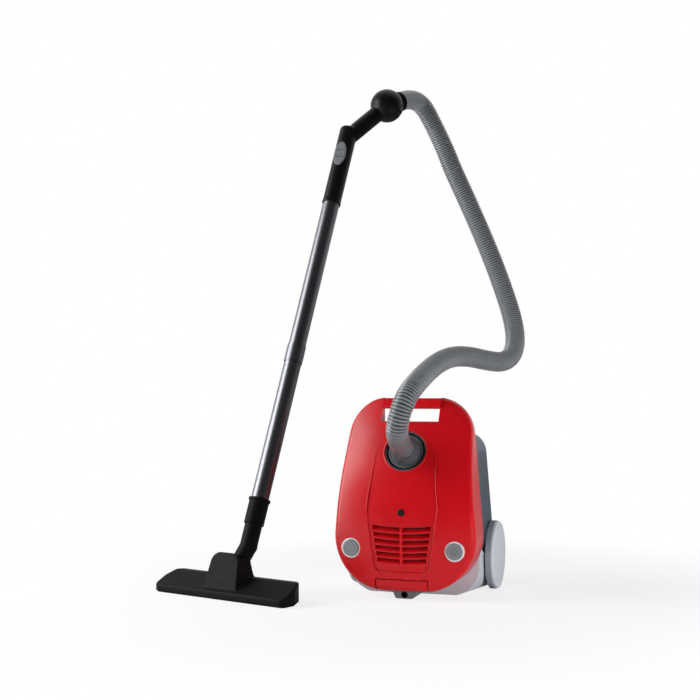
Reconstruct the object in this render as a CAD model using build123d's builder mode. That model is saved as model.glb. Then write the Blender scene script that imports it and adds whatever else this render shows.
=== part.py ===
from build123d import *
import os
from math import cos, radians, sin, sqrt, tan

os.makedirs("parts", exist_ok=True)

# Canister vacuum cleaner parked on its rear end, with hose, wand and floor head beside it.
# Frame: millimetres, +Z up, the canister faces -Y, origin on the floor under the canister.

# Clearances
seat_gap = 0.1
run_gap = 0.05
slide_gap = 0.4
part_gap = 0.4

# Red top cover
cover_bottom_width = 267.0
cover_top_width = 214.0
cover_bottom_z = 14.0
cover_top_z = 346.0
cover_bottom_radius = 92.0
cover_top_radius = 66.0
cover_edge_radius = 12.0
cover_wall = 3.6
parting_y = -36.0
front_y = -124.0
crown_reach = 160.0
crown_drop = 34.0
front_lean = [(6, -34), (0, 82), (1.5, 136), (11, 186), (33, 240), (50, 276), (69, 311), (90, 350)]

# Recessed centre panel on the cover
panel_top_z = 280.0
panel_bottom_z = 48.0
panel_top_width = 100.0
panel_mid_width = 126.0
panel_mid_z = 156.0
panel_bottom_width = 98.0
panel_corner = 14.0
panel_depth = 2.2

# Carry handle
grip_notch_width = 104.0
grip_notch_z = 304.0
grip_height = 20.0
grip_depth = 18.0
grip_corner = 4.0

# Hose inlet
inlet_z = 254.0
inlet_radius = 37.0
inlet_rim_y = -91.0
inlet_tilt = 22.0
inlet_well = 14.0
inlet_bore = 20.0
inlet_wall = 2.5
inlet_lip = 0.8

# Exhaust grille
grille_top_z = 130.0
grille_bottom_z = 55.5
grille_top_width = 114.0
grille_bottom_width = 92.0
grille_corner = 9.0
grille_rows = 6
grille_slot = 8.6
grille_bar = 4.0
grille_thickness = 7.0
grille_slant = 40.0
filter_thickness = 6.0

# Bag-full lens
lens_z = 150.0
lens_radius = 6.0
lens_length = 6.0

# Round buttons
button_spread = 91.5
button_z = 86.0
button_radius = 14.2
button_proud = 2.0
button_cap = 9.0
button_stem = 5.0
button_travel = 4.0
bezel_wall = 2.6
bezel_proud = 1.2
bezel_length = 22.0
bezel_floor = 2.0

# Latch tab
latch_width = 94.0
latch_height = 22.0
latch_gap = 1.7
latch_pin_radius = 1.5
latch_arm_spread = 26.0
latch_arm_width = 8.0

# Lower housing
housing_inset = 3.0
housing_top_z = 286.0
housing_top_radius = 46.0
housing_back_y = 108.0
housing_taper = 5.0
housing_back_radius = 30.0
housing_wall = 3.0
partition_z = 136.0
partition_thickness = 3.0
gasket_width = 2.0
gasket_height = 2.6

# Lid hinge
hinge_y = -28.0
hinge_rise = 6.2
hinge_radius = 5.4
hinge_pin_radius = 2.0
hinge_lid_half = 26.0
hinge_ear_width = 16.0

# Rear bumper and cord outlet
bumper_bottom_width = 236.0
bumper_top_width = 238.0
bumper_front_z = 88.0
bumper_back_z = 30.0
bumper_back_y = 92.0
bumper_front_corner = 52.0
bumper_back_corner = 18.0
bumper_wall = 4.0
outlet_width = 44.0
outlet_foot_width = 30.0
outlet_front_y = -98.0
outlet_corner = 4.0
outlet_bore = 4.0
outlet_bush_wall = 1.8
outlet_bush_length = 16.0

# Big wheels
wheel_y = 58.0
wheel_radius = 61.0
wheel_lift = 0.5
wheel_inner_x = 121.0
wheel_width = 15.0
tyre_thickness = 4.0
cap_rise = 3.0
cap_edge = 3.0
axle_radius = 6.0
axle_head = 10.0

wheel_plate_radius = 50.0

# Caster
caster_z = 228.0
caster_pocket_radius = 28.0
caster_pocket_depth = 26.0
caster_stem_radius = 4.0
caster_fork_radius = 12.0
caster_fork_plate = 3.0
caster_trail = 8.0
caster_wheel_radius = 11.0
caster_wheel_width = 10.0
caster_pin_radius = 2.0
caster_arm = 2.6
caster_proud = 11.0

# Motor and fan
motor_x = 30.0
motor_y = 10.0
motor_radius = 44.0
motor_bottom_z = 42.0
motor_wall = 2.5
mount_height = 5.0
shaft_radius = 4.0
stator_outer = 34.0
stator_inner = 25.0
stator_height = 40.0
armature_radius = 24.0
armature_height = 34.0
impeller_radius = 38.0
impeller_height = 14.0
inlet_eye = 28.0

# Cord reel
reel_x = -40.0
reel_z = 88.0
reel_radius = 44.0
reel_core = 16.0
reel_width = 44.0
reel_flange = 2.5
reel_axle_radius = 5.0
reel_foot = 14.0
reel_foot_thickness = 4.0

# Dust bag
bag_width = 160.0
bag_front_y = -24.0
bag_back_y = 70.0
bag_top_z = 264.0
bag_neck = 20.0
bag_corner = 22.0
collar_width = 70.0
collar_height = 46.0
collar_thickness = 2.0
bag_holder_thickness = 2.0
motor_filter_thickness = 6.0

# Power switch
switch_size = (14.0, 12.0, 20.0)
switch_shelf = 3.0

# Wand: foot of the visible tube and its lean
wand_foot = (-258.0, -122.8, 164.3)
wand_side_lean = 7.0
wand_back_lean = 20.02
tube_radius = 16.0
tube_wall = 1.0
tube_socket_wall = 1.1
lower_tube_length = 296.0
tube_overlap = 32.0
tube_shoulder = 3.0
wand_visible = 586.0
collar_length = 44.0
collar_flange = 19.6
collar_flange_height = 4.0
collar_radius = 17.8
tube_seat = 12.0

# Hose handle
handle_radius = 18.0
handle_lip = 18.6
handle_lip_height = 6.0
handle_barrel = 167.0
handle_tube_seat = 36.0
handle_bore = 13.5
handle_bend = 144.0
ball_offset = (64.3, 57.6, 71.5)
ball_radius = 33.0
grip_radius = 16.6
lug_radius = 4.5
lug_length = 8.0
slider_at = 101.0
slider_length = 50.0
slider_width = 22.0
slider_thickness = 2.6
slider_travel = 7.0
slider_wrap = 3.2
slider_foot = 30.0
slider_groove = 1.4
slider_groove_spread = 15.0

# Hose: points from the canister inlet to the handle ball
hose_radius = 19.0
hose_valley = 17.2
hose_bore = 15.6
hose_ribs = 200
hose_points = [
    (8, -170, 310), (20, -160, 350), (27, -118, 372),
    (29, -62, 389), (37, -10, 407), (51, 45, 420), (71, 98, 421), (94, 147, 414),
    (116, 193, 410), (129, 231, 423), (131, 260, 453), (123, 278, 492), (109, 288, 535),
    (82, 296, 608), (52, 299, 680), (19, 298, 755), (-6, 301, 808), (-19, 302, 843),
    (-43, 290, 898), (-60, 268, 935),
]
hose_exit_direction = (0.45, 0.82, 0.36)
hose_exit_run = 30.0
cuff_length = 6.0
cuff_radius = 19.6
cuff_wall = 1.8
swivel_disc = 31.0
swivel_disc_thickness = 5.0
swivel_length = 40.0
swivel_seat = 8.0
swivel_cone = 26.0
swivel_cone_end = 20.2
hose_start = 15.0
hose_start_run = 48.0

# Floor head
head_x = -291.0
head_yaw = -19.5
head_front_y = -208.0
head_back_y = -146.0
head_front_width = 300.0
head_back_width = 270.0
head_corner = 10.0
head_skirt_z = 1.5
head_front_height = 14.0
head_top_z = 36.0
head_slope_y = -161.0
head_edge = 3.0
head_wall = 2.6
sole_thickness = 4.0
mouth_width = 210.0
mouth_depth = 15.0
mouth_y = -189.5
brush_length = 244.0
brush_depth = 4.0
brush_height = 8.0
brush_rear_y = -158.0
brush_front_y = -201.3
brush_lift = 0.6

# Neck between head and wand
pivot_y = -163.0
pivot_z = 40.0
barrel_radius = 17.0
barrel_half = 28.0
neck_radius = 15.5
neck_bend = 84.0
spigot_radius = 14.6
spigot_length = 28.0
neck_wall = 2.5
pivot_pin_radius = 3.0
cowl_wall = 4.0
cowl_top_z = 78.0
cowl_front_y = -200.0
cowl_ridge_y = -182.0
cowl_lip = 4.0
cowl_corner = 20.0
cowl_flare = 8.0

# Screws
screw_radius = 3.2
screw_length = 8.0

# Places that follow from the sizes
side_slope = (cover_top_width - cover_bottom_width) / 2 / (cover_top_z - cover_bottom_z)
side_stretch = sqrt(1 + side_slope**2)
housing_front_y = parting_y + part_gap
hinge_z = housing_top_z + hinge_rise
wheel_z = wheel_radius + wheel_lift
wheel_outer_x = wheel_inner_x + wheel_width
rim_radius = wheel_radius - tyre_thickness
pocket_floor_y = housing_back_y - caster_pocket_depth
caster_axle_y = housing_back_y + caster_proud - caster_wheel_radius
caster_axle_z = caster_z - caster_trail
motor_top_z = partition_z - mount_height
bag_bottom_z = partition_z + partition_thickness + motor_filter_thickness + 0.3
collar_y = housing_front_y + 1.6
inlet_tube_end = parting_y - 2.0
bag_inlet_z = inlet_z - (collar_y - inlet_rim_y) * tan(radians(inlet_tilt))
bezel_radius = button_radius + slide_gap + bezel_wall
pivot = Vector(head_x, pivot_y, pivot_z)
wand_direction = Vector(tan(radians(wand_side_lean)), tan(radians(wand_back_lean)), 1).normalized()
exit_direction = Vector(*hose_exit_direction).normalized()
inlet_axis = Vector(0, -cos(radians(inlet_tilt)), sin(radians(inlet_tilt)))
head_across = Vector(1, 0, 0).rotate(Axis.Z, head_yaw)
head_turn = Axis((head_x, pivot_y, 0), (0, 0, 1))


def on_wand(distance):
    """Point on the wand's axis, at a distance above its foot."""
    return Vector(*wand_foot) + wand_direction * distance


def on_inlet(distance):
    """Point on the hose inlet's axis, at a distance in front of the cover's face."""
    return Vector(0, inlet_rim_y, inlet_z) + inlet_axis * distance


def across(direction, reference):
    """Unit vector nearest to the reference that is square to a direction."""
    reference = Vector(*reference)
    return (reference - direction * reference.dot(direction)).normalized()


def block(x, y, z, mode=Mode.ADD):
    """Box between a low and a high limit on each axis."""
    with Locations(((x[0] + x[1]) / 2, (y[0] + y[1]) / 2, (z[0] + z[1]) / 2)):
        Box(x[1] - x[0], y[1] - y[0], z[1] - z[0], mode=mode)


def rod(start, direction, radius, length, mode=Mode.ADD):
    """Cylinder from a point along a direction."""
    with Locations(Plane(origin=start, z_dir=direction)):
        Cylinder(radius, length, align=(Align.CENTER, Align.CENTER, Align.MIN), mode=mode)


def half_width(z, inset=0.0):
    """Half of the canister's width at a height, with its sides pulled in."""
    return cover_bottom_width / 2 + (z - cover_bottom_z) * side_slope - inset * side_stretch


def body_outline(plane, inset, top_z, top_radius):
    """Front outline of the canister, pulled in by an inset."""
    low = cover_bottom_z + inset
    high = top_z - inset
    with BuildSketch(plane) as outline:
        with BuildLine():
            Polyline(
                (-half_width(low, inset), low),
                (half_width(low, inset), low),
                (half_width(high, inset), high),
                (-half_width(high, inset), high),
                close=True,
            )
        make_face()
        fillet(outline.vertices().group_by(Axis.Y)[0], cover_bottom_radius - inset)
        fillet(outline.vertices().group_by(Axis.Y)[-1], top_radius - inset)
    return outline.sketch


def front_form(inset):
    """Solid behind the cover's crowned front, which leans back at the top."""
    low = cover_bottom_z + front_lean[0][1]
    high = cover_bottom_z + front_lean[-1][1]
    with BuildPart() as form:
        for share in (-1, -0.5, 0, 0.5, 1):
            shift = front_y + inset + crown_drop * share**2
            with BuildSketch(Plane.YZ.offset(share * crown_reach)):
                with BuildLine():
                    front = Spline(*[(shift + y, cover_bottom_z + z) for y, z in front_lean])
                    Polyline(front @ 1, (-front_y, high), (-front_y, low), front @ 0)
                make_face()
        loft()
    return form.part


def cover_form(inset):
    """Outer form of the cover in front of the parting plane, pulled in by an inset."""
    outline = body_outline(Plane.XZ.offset(-parting_y), inset, cover_top_z, cover_top_radius)
    with BuildPart() as form:
        extrude(to_extrude=outline, amount=parting_y - front_y + crown_drop)
        add(front_form(inset), mode=Mode.INTERSECT)
        along = form.edges().filter_by(Axis.Y)
        front_edges = form.edges().filter_by(lambda edge: edge.center().Y < parting_y - 0.5)
        fillet([edge for edge in front_edges if edge not in along], cover_edge_radius - inset)
    return form.part


def housing_form(inset):
    """Outer form of the tub behind the parting plane, narrower and rounded at the back."""
    back_y = housing_back_y - inset
    top_z = housing_top_z + housing_inset
    front_plane = Plane.XZ.offset(-housing_front_y)
    back_plane = Plane.XZ.offset(-back_y)
    with BuildPart() as form:
        front = body_outline(front_plane, housing_inset + inset, top_z, housing_top_radius)
        back = body_outline(back_plane, housing_inset + inset + housing_taper, top_z, housing_top_radius)
        loft([front.faces()[0], back.faces()[0]], ruled=True)
        fillet(form.faces().sort_by(Axis.Y)[-1].edges(), housing_back_radius - inset)
    return form.part


def tapered_panel(top, bottom, top_width, bottom_width, corner, inset=0.0):
    """Prism of a tapered panel with round corners, seen from the front."""
    with BuildPart() as prism:
        with BuildSketch(Plane.XZ.offset(-parting_y)) as outline:
            with BuildLine():
                Polyline(
                    (-bottom_width / 2 + inset, bottom + inset),
                    (bottom_width / 2 - inset, bottom + inset),
                    (top_width / 2 - inset, top - inset),
                    (-top_width / 2 + inset, top - inset),
                    close=True,
                )
            make_face()
            fillet(outline.vertices(), corner)
        extrude(amount=parting_y - front_y + crown_drop)
    return prism.part


cover_outer = cover_form(0)
cover_inner = cover_form(cover_wall)
housing_outer = housing_form(0)
housing_inner = housing_form(housing_wall)

# Panel recess: full depth at the grille, fading out below the handle
panel_tilt = panel_depth / (panel_top_z - grille_bottom_z) * 57.3
recess_floor = cover_outer.rotate(Axis((0, front_y, panel_top_z), (1, 0, 0)), panel_tilt)
with BuildPart() as panel_recess:
    with BuildSketch(Plane.XZ.offset(-parting_y)) as panel_outline:
        with BuildLine():
            Polyline(
                (-panel_bottom_width / 2, panel_bottom_z),
                (panel_bottom_width / 2, panel_bottom_z),
                (panel_mid_width / 2, panel_mid_z),
                (panel_top_width / 2, panel_top_z),
                (-panel_top_width / 2, panel_top_z),
                (-panel_mid_width / 2, panel_mid_z),
                close=True,
            )
        make_face()
        fillet(panel_outline.vertices(), panel_corner)
    extrude(amount=parting_y - front_y + crown_drop)
    add(recess_floor, mode=Mode.SUBTRACT)

# Red top cover with its openings and its half of the hinge
latch_pin_y = front_y + 15.0
latch_top_z = cover_bottom_z + latch_height
latch_pin_z = latch_top_z + 5.0
latch_half = latch_arm_spread + latch_arm_width / 2
latch_boss_x = latch_half + slide_gap
with BuildPart() as top_cover:
    add(cover_outer)
    add(cover_inner, mode=Mode.SUBTRACT)
    block((-grip_notch_width, grip_notch_width), (front_y, parting_y),
          (housing_top_z + 1, cover_top_z))
    add(cover_outer, mode=Mode.INTERSECT)
    block((-grip_notch_width / 2, grip_notch_width / 2), (front_y - 20, parting_y + 20),
          (grip_notch_z, cover_top_z + 10), Mode.SUBTRACT)
    add(panel_recess.part, mode=Mode.SUBTRACT)
    rod(on_inlet(-inlet_well - inlet_wall), inlet_axis, inlet_radius, 100, Mode.SUBTRACT)
    add(tapered_panel(grille_top_z, grille_bottom_z, grille_top_width, grille_bottom_width, grille_corner),
        mode=Mode.SUBTRACT)
    rod((0, parting_y + 1, lens_z), (0, -1, 0), lens_radius + seat_gap, 100, Mode.SUBTRACT)
    for side in (-1, 1):
        rod((side * button_spread, parting_y + 1, button_z), (0, -1, 0),
            bezel_radius + seat_gap, 100, Mode.SUBTRACT)
    block((-latch_width / 2, latch_width / 2), (front_y - 20, parting_y - 10),
          (cover_bottom_z - 5, latch_top_z), Mode.SUBTRACT)
    for side in (-1, 1):
        boss = sorted((side * latch_boss_x, side * (latch_boss_x + latch_arm_width)))
        block(boss, (front_y + 4.0, latch_pin_y + 4), (latch_top_z + 0.5, latch_pin_z + 4))
    rod((-latch_width / 2, latch_pin_y, latch_pin_z), (1, 0, 0), latch_pin_radius, latch_width, Mode.SUBTRACT)
    block((-hinge_lid_half, hinge_lid_half), (parting_y - 2, hinge_y), (hinge_z - 4, hinge_z + hinge_radius))
    rod((-hinge_lid_half, hinge_y, hinge_z), (1, 0, 0), hinge_radius, 2 * hinge_lid_half)
    rod((-hinge_lid_half, hinge_y, hinge_z), (1, 0, 0), hinge_pin_radius + run_gap,
        2 * hinge_lid_half, Mode.SUBTRACT)
top_cover.part.label = "top_cover"
export_step(top_cover.part, "parts/top_cover.step")

# Carry handle bar across the notch
with BuildPart() as carry_handle:
    with BuildSketch(Plane.YZ.offset(-grip_notch_width / 2)) as grip_outline:
        with BuildLine():
            Polyline(
                (parting_y, cover_top_z - 1),
                (parting_y - grip_depth * 0.6, cover_top_z - 1),
                (parting_y - grip_depth, cover_top_z - grip_height),
                (parting_y, cover_top_z - grip_height),
                close=True,
            )
        make_face()
        fillet(grip_outline.vertices(), grip_corner)
    extrude(amount=grip_notch_width)
carry_handle.part.label = "carry_handle"
export_step(carry_handle.part, "parts/carry_handle.step")

# Exhaust grille: a plate that follows the crown, with slots left and right of a centre bar
grille_back = front_form(panel_depth + grille_thickness)
grille_front = front_form(panel_depth)
slant = Vector(0, -sin(radians(grille_slant)), cos(radians(grille_slant)))
slot_pitch = (grille_top_z - grille_bottom_z - 2 * grille_bar) / grille_rows
with BuildPart() as exhaust_grille:
    add(tapered_panel(grille_top_z, grille_bottom_z, grille_top_width, grille_bottom_width,
                      grille_corner, seat_gap))
    add(grille_front, mode=Mode.INTERSECT)
    add(grille_back, mode=Mode.SUBTRACT)
    for row in range(grille_rows):
        slot_z = grille_bottom_z + grille_bar + slot_pitch * (row + 0.5)
        share = (slot_z - grille_bottom_z) / (grille_top_z - grille_bottom_z)
        reach = (grille_bottom_width + share * (grille_top_width - grille_bottom_width)) / 2 - grille_bar
        for side in (-1, 1):
            middle = side * (grille_bar / 2 + reach) / 2
            with Locations(Plane(origin=(middle, front_y + panel_depth, slot_z), x_dir=(1, 0, 0), z_dir=slant)):
                Box(reach - grille_bar / 2, 60, grille_slot * slant.Z, mode=Mode.SUBTRACT)
exhaust_grille.part.label = "exhaust_grille"
export_step(exhaust_grille.part, "parts/exhaust_grille.step")

# Exhaust filter pad behind the grille
filter_front = front_form(panel_depth + grille_thickness + seat_gap)
filter_back = front_form(panel_depth + grille_thickness + filter_thickness)
with BuildPart() as exhaust_filter:
    add(tapered_panel(grille_top_z, grille_bottom_z, grille_top_width, grille_bottom_width,
                      grille_corner, -2.0))
    add(filter_front, mode=Mode.INTERSECT)
    add(filter_back, mode=Mode.SUBTRACT)
exhaust_filter.part.label = "exhaust_filter"
export_step(exhaust_filter.part, "parts/exhaust_filter.step")

# Bag-full lens
with BuildPart() as bag_lens:
    rod((0, front_y + 1.4 + lens_length, lens_z), (0, -1, 0), lens_radius, lens_length)
    fillet(bag_lens.faces().sort_by(Axis.Y)[0].edges(), 1.0)
bag_lens.part.label = "bag_lens"
export_step(bag_lens.part, "parts/bag_lens.step")

# Button bezels with a floor that guides the stems
button_face_y = front_y + crown_drop * (button_spread / crown_reach) ** 2
bezel_front_y = button_face_y - bezel_proud
bezel_back_y = bezel_front_y + bezel_length
with BuildPart() as button_bezels:
    for side in (-1, 1):
        x = side * button_spread
        rod((x, bezel_back_y, button_z), (0, -1, 0), bezel_radius, bezel_length)
        rod((x, bezel_back_y - bezel_floor, button_z), (0, -1, 0), button_radius + slide_gap,
            bezel_length, Mode.SUBTRACT)
        rod((x, bezel_back_y, button_z), (0, -1, 0), button_stem + slide_gap, bezel_length, Mode.SUBTRACT)
    fillet(button_bezels.faces().group_by(Axis.Y)[0].edges().group_by(SortBy.RADIUS)[-1], 0.8)
button_bezels.part.label = "button_bezels"
export_step(button_bezels.part, "parts/button_bezels.step")

# Power and rewind buttons
button_front_y = button_face_y - button_proud
stem_end_y = parting_y - button_travel - slide_gap


def push_button(x, ring):
    """Round button cap with a stem, and a raised ring where the button has one."""
    with BuildPart() as button:
        rod((x, button_front_y + button_cap, button_z), (0, -1, 0), button_radius, button_cap)
        fillet(button.faces().sort_by(Axis.Y)[0].edges(), 1.6)
        if ring:
            rod((x, button_front_y + 1.2, button_z), (0, -1, 0), button_radius * 0.62, 2)
            rod((x, button_front_y + 1.2, button_z), (0, -1, 0), button_radius * 0.48, 3, Mode.SUBTRACT)
        rod((x, stem_end_y, button_z), (0, -1, 0), button_stem, stem_end_y - button_front_y - 3)
    return button.part


with BuildPart() as power_button:
    add(push_button(button_spread, True))
power_button.part.label = "power_button"
export_step(power_button.part, "parts/power_button.step")

with BuildPart() as rewind_button:
    add(push_button(-button_spread, False))
rewind_button.part.label = "rewind_button"
export_step(rewind_button.part, "parts/rewind_button.step")

# Inlet socket: a well in the cover with a tube that leads to the bag
socket_outer = inlet_radius - seat_gap
socket_tube = inlet_bore + slide_gap + inlet_wall
with BuildPart() as inlet_socket:
    rod(on_inlet(-inlet_well - inlet_wall), inlet_axis, socket_outer, 40)
    add(front_form(inlet_lip), mode=Mode.INTERSECT)
    rod(on_inlet(-inlet_well), inlet_axis, socket_outer - inlet_wall, 60, Mode.SUBTRACT)
    rod(on_inlet(-inlet_well), -inlet_axis, socket_tube, 80)
    rod(on_inlet(-100), inlet_axis, inlet_bore + slide_gap, 200, Mode.SUBTRACT)
    block((-60, 60), (inlet_tube_end, -front_y), (0, cover_top_z), Mode.SUBTRACT)
inlet_socket.part.label = "inlet_socket"
export_step(inlet_socket.part, "parts/inlet_socket.step")

# Inlet seal between the socket and the bag collar
with BuildPart() as inlet_seal:
    rod(on_inlet(-inlet_well), -inlet_axis, socket_tube, 80)
    rod(on_inlet(-inlet_well), -inlet_axis, inlet_bore, 80, Mode.SUBTRACT)
    block((-60, 60), (inlet_tube_end, collar_y - seat_gap), (0, cover_top_z), Mode.INTERSECT)
inlet_seal.part.label = "inlet_seal"
export_step(inlet_seal.part, "parts/inlet_seal.step")

# Latch pin and latch tab
with BuildPart() as latch_pin:
    rod((-latch_boss_x - latch_arm_width, latch_pin_y, latch_pin_z), (1, 0, 0), latch_pin_radius,
        2 * (latch_boss_x + latch_arm_width))
latch_pin.part.label = "latch_pin"
export_step(latch_pin.part, "parts/latch_pin.step")

with BuildPart() as latch_tab:
    add(cover_form(0.6))
    add(cover_form(cover_wall + 0.6), mode=Mode.SUBTRACT)
    block((-latch_width / 2 + latch_gap, latch_width / 2 - latch_gap), (front_y - 5, parting_y - 16),
          (cover_bottom_z, latch_top_z - latch_gap), Mode.INTERSECT)
    for side in (-1, 1):
        arm = sorted((side * (latch_arm_spread - latch_arm_width / 2), side * latch_half))
        block(arm, (latch_pin_y - 6, latch_pin_y + 3), (latch_top_z - 10, latch_pin_z))
        rod((arm[0], latch_pin_y, latch_pin_z), (1, 0, 0), 3.0, latch_arm_width)
    rod((-latch_half, latch_pin_y, latch_pin_z), (1, 0, 0), latch_pin_radius + run_gap, 2 * latch_half,
        Mode.SUBTRACT)
latch_tab.part.label = "latch_tab"
export_step(latch_tab.part, "parts/latch_tab.step")

# Lower housing: tub, partition, wheel plates, hinge ears, axle holes and caster pocket
ear_x = hinge_lid_half + slide_gap
with BuildPart() as wheel_plates:
    for side in (-1, 1):
        rod((side * 70, wheel_y, wheel_z), (side, 0, 0), wheel_plate_radius, wheel_inner_x - slide_gap - 70)
    add(housing_inner, mode=Mode.SUBTRACT)
    block((-200, 200), (housing_front_y, housing_back_y - housing_back_radius), (0, cover_top_z), Mode.INTERSECT)
with BuildPart() as lower_housing:
    add(housing_outer)
    add(housing_inner, mode=Mode.SUBTRACT)
    block((-200, 200), (housing_front_y, housing_back_y), (partition_z, partition_z + partition_thickness))
    rod((0, housing_back_y, caster_z), (0, -1, 0), caster_pocket_radius + housing_wall,
        caster_pocket_depth + housing_wall)
    block((button_spread - switch_size[0] / 2, 200),
          (housing_front_y + switch_size[1], housing_front_y + switch_size[1] + switch_shelf),
          (button_z - switch_size[2] / 2, button_z + switch_size[2] / 2))
    add(housing_outer, mode=Mode.INTERSECT)
    add(wheel_plates.part)
    for side in (-1, 1):
        rod((side * (wheel_inner_x - slide_gap), wheel_y, wheel_z), (side, 0, 0), wheel_radius + 2, 40, Mode.SUBTRACT)
    rod((motor_x, motor_y, partition_z - 5), (0, 0, 1), inlet_eye, 20, Mode.SUBTRACT)
    rod((0, housing_back_y + 1, caster_z), (0, -1, 0), caster_pocket_radius, caster_pocket_depth + 1,
        Mode.SUBTRACT)
    rod((0, housing_back_y, caster_z), (0, -1, 0), caster_stem_radius + run_gap, 60, Mode.SUBTRACT)
    rod((-200, wheel_y, wheel_z), (1, 0, 0), axle_radius, 400, Mode.SUBTRACT)
    for side in (-1, 1):
        ear = sorted((side * ear_x, side * (ear_x + hinge_ear_width)))
        block(ear, (hinge_y - hinge_radius, hinge_y + hinge_radius), (housing_top_z - 2.5, hinge_z))
        rod((ear[0], hinge_y, hinge_z), (1, 0, 0), hinge_radius, hinge_ear_width)
    rod((-ear_x - hinge_ear_width, hinge_y, hinge_z), (1, 0, 0), hinge_pin_radius,
        2 * (ear_x + hinge_ear_width), Mode.SUBTRACT)
lower_housing.part.label = "lower_housing"
export_step(lower_housing.part, "parts/lower_housing.step")

with BuildPart() as hinge_pin:
    rod((-ear_x - hinge_ear_width, hinge_y, hinge_z), (1, 0, 0), hinge_pin_radius,
        2 * (ear_x + hinge_ear_width))
hinge_pin.part.label = "hinge_pin"
export_step(hinge_pin.part, "parts/hinge_pin.step")

# Gasket on the tub's rim, inside the cover's skirt
gasket_inset = cover_wall + slide_gap
with BuildPart() as lid_gasket:
    gasket_plane = Plane.XZ.offset(-housing_front_y)
    gasket_top = housing_top_z + housing_inset
    extrude(to_extrude=body_outline(gasket_plane, gasket_inset, gasket_top, housing_top_radius),
            amount=gasket_height)
    extrude(to_extrude=body_outline(gasket_plane, gasket_inset + gasket_width, gasket_top, housing_top_radius),
            amount=gasket_height, mode=Mode.SUBTRACT)
lid_gasket.part.label = "lid_gasket"
export_step(lid_gasket.part, "parts/lid_gasket.step")

# Rear bumper under and round the tub: a hull that is rounder at the front than at the back
def bumper_outline(y, inset, corner):
    """Cross-section of the bumper at a depth, pulled in by an inset, with 1 mm at the bottom to be trimmed flat."""
    with BuildSketch(Plane.XZ.offset(-y)) as outline:
        with BuildLine():
            Polyline(
                (-bumper_bottom_width / 2 + inset, inset - 1),
                (bumper_bottom_width / 2 - inset, inset - 1),
                (bumper_top_width / 2 - inset, bumper_front_z),
                (-bumper_top_width / 2 + inset, bumper_front_z),
                close=True,
            )
        make_face()
        fillet(outline.vertices().group_by(Axis.Y)[0], corner - inset)
    return outline.sketch.faces()[0]


with BuildPart() as bumper_tray:
    loft([bumper_outline(housing_front_y + bumper_wall, bumper_wall, bumper_front_corner),
          bumper_outline(bumper_back_y - bumper_wall, bumper_wall, bumper_back_corner)], ruled=True)
with BuildPart() as rear_bumper:
    loft([bumper_outline(housing_front_y, 0, bumper_front_corner),
          bumper_outline(bumper_back_y, 0, bumper_back_corner)], ruled=True)
    with BuildSketch(Plane.YZ.offset(-bumper_top_width)):
        with BuildLine():
            Polyline(
                (housing_front_y, bumper_front_z),
                (bumper_back_y, bumper_back_z),
                (bumper_back_y, bumper_front_z + 10),
                (housing_front_y, bumper_front_z + 10),
                close=True,
            )
        make_face()
    extrude(amount=2 * bumper_top_width, mode=Mode.SUBTRACT)
    add(bumper_tray.part, mode=Mode.SUBTRACT)
    add(housing_outer, mode=Mode.SUBTRACT)
    block((-200, 200), (-200, 200), (-5, 0), Mode.SUBTRACT)
    for side in (-1, 1):
        rod((side * 60, wheel_y, wheel_z), (side, 0, 0), wheel_plate_radius + part_gap, 100, Mode.SUBTRACT)
rear_bumper.part.label = "rear_bumper"
export_step(rear_bumper.part, "parts/rear_bumper.step")

# Cord guide under the cover, with a bush for the mains cord
tongue_height = cover_bottom_z - part_gap
outlet_z = tongue_height / 2
with BuildPart() as cord_guide:
    with BuildSketch(Plane.XZ.offset(-housing_front_y)) as tongue_outline:
        with BuildLine():
            Polyline(
                (-outlet_foot_width / 2, 0),
                (outlet_foot_width / 2, 0),
                (outlet_width / 2, tongue_height),
                (-outlet_width / 2, tongue_height),
                close=True,
            )
        make_face()
        fillet(tongue_outline.vertices().group_by(Axis.Y)[0], outlet_corner)
    extrude(amount=housing_front_y - outlet_front_y)
    rod((0, outlet_front_y, outlet_z), (0, 1, 0), outlet_bore + outlet_bush_wall, outlet_bush_length,
        Mode.SUBTRACT)
cord_guide.part.label = "cord_guide"
export_step(cord_guide.part, "parts/cord_guide.step")

with BuildPart() as cord_outlet:
    rod((0, outlet_front_y, outlet_z), (0, 1, 0), outlet_bore + outlet_bush_wall, outlet_bush_length)
    rod((0, outlet_front_y, outlet_z), (0, 1, 0), outlet_bore, outlet_bush_length, Mode.SUBTRACT)
cord_outlet.part.label = "cord_outlet"
export_step(cord_outlet.part, "parts/cord_outlet.step")

# Stub axles through the tub's walls
axle_inner_x = wheel_inner_x - 26
with BuildPart() as wheel_axles:
    for side in (-1, 1):
        rod((side * axle_inner_x, wheel_y, wheel_z), (side, 0, 0), axle_radius,
            wheel_outer_x - 4 - axle_inner_x)
wheel_axles.part.label = "wheel_axles"
export_step(wheel_axles.part, "parts/wheel_axles.step")


def wheel_profile(points):
    """Solid of revolution about the wheels' axis, from (x, radius) points on the right side."""
    with BuildPart() as turned:
        with BuildSketch(Plane(origin=(0, wheel_y, wheel_z), x_dir=(1, 0, 0), z_dir=(0, -1, 0))):
            with BuildLine():
                Polyline(*points, close=True)
            make_face()
        revolve(axis=Axis((0, wheel_y, wheel_z), (1, 0, 0)))
    return turned.part


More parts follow.
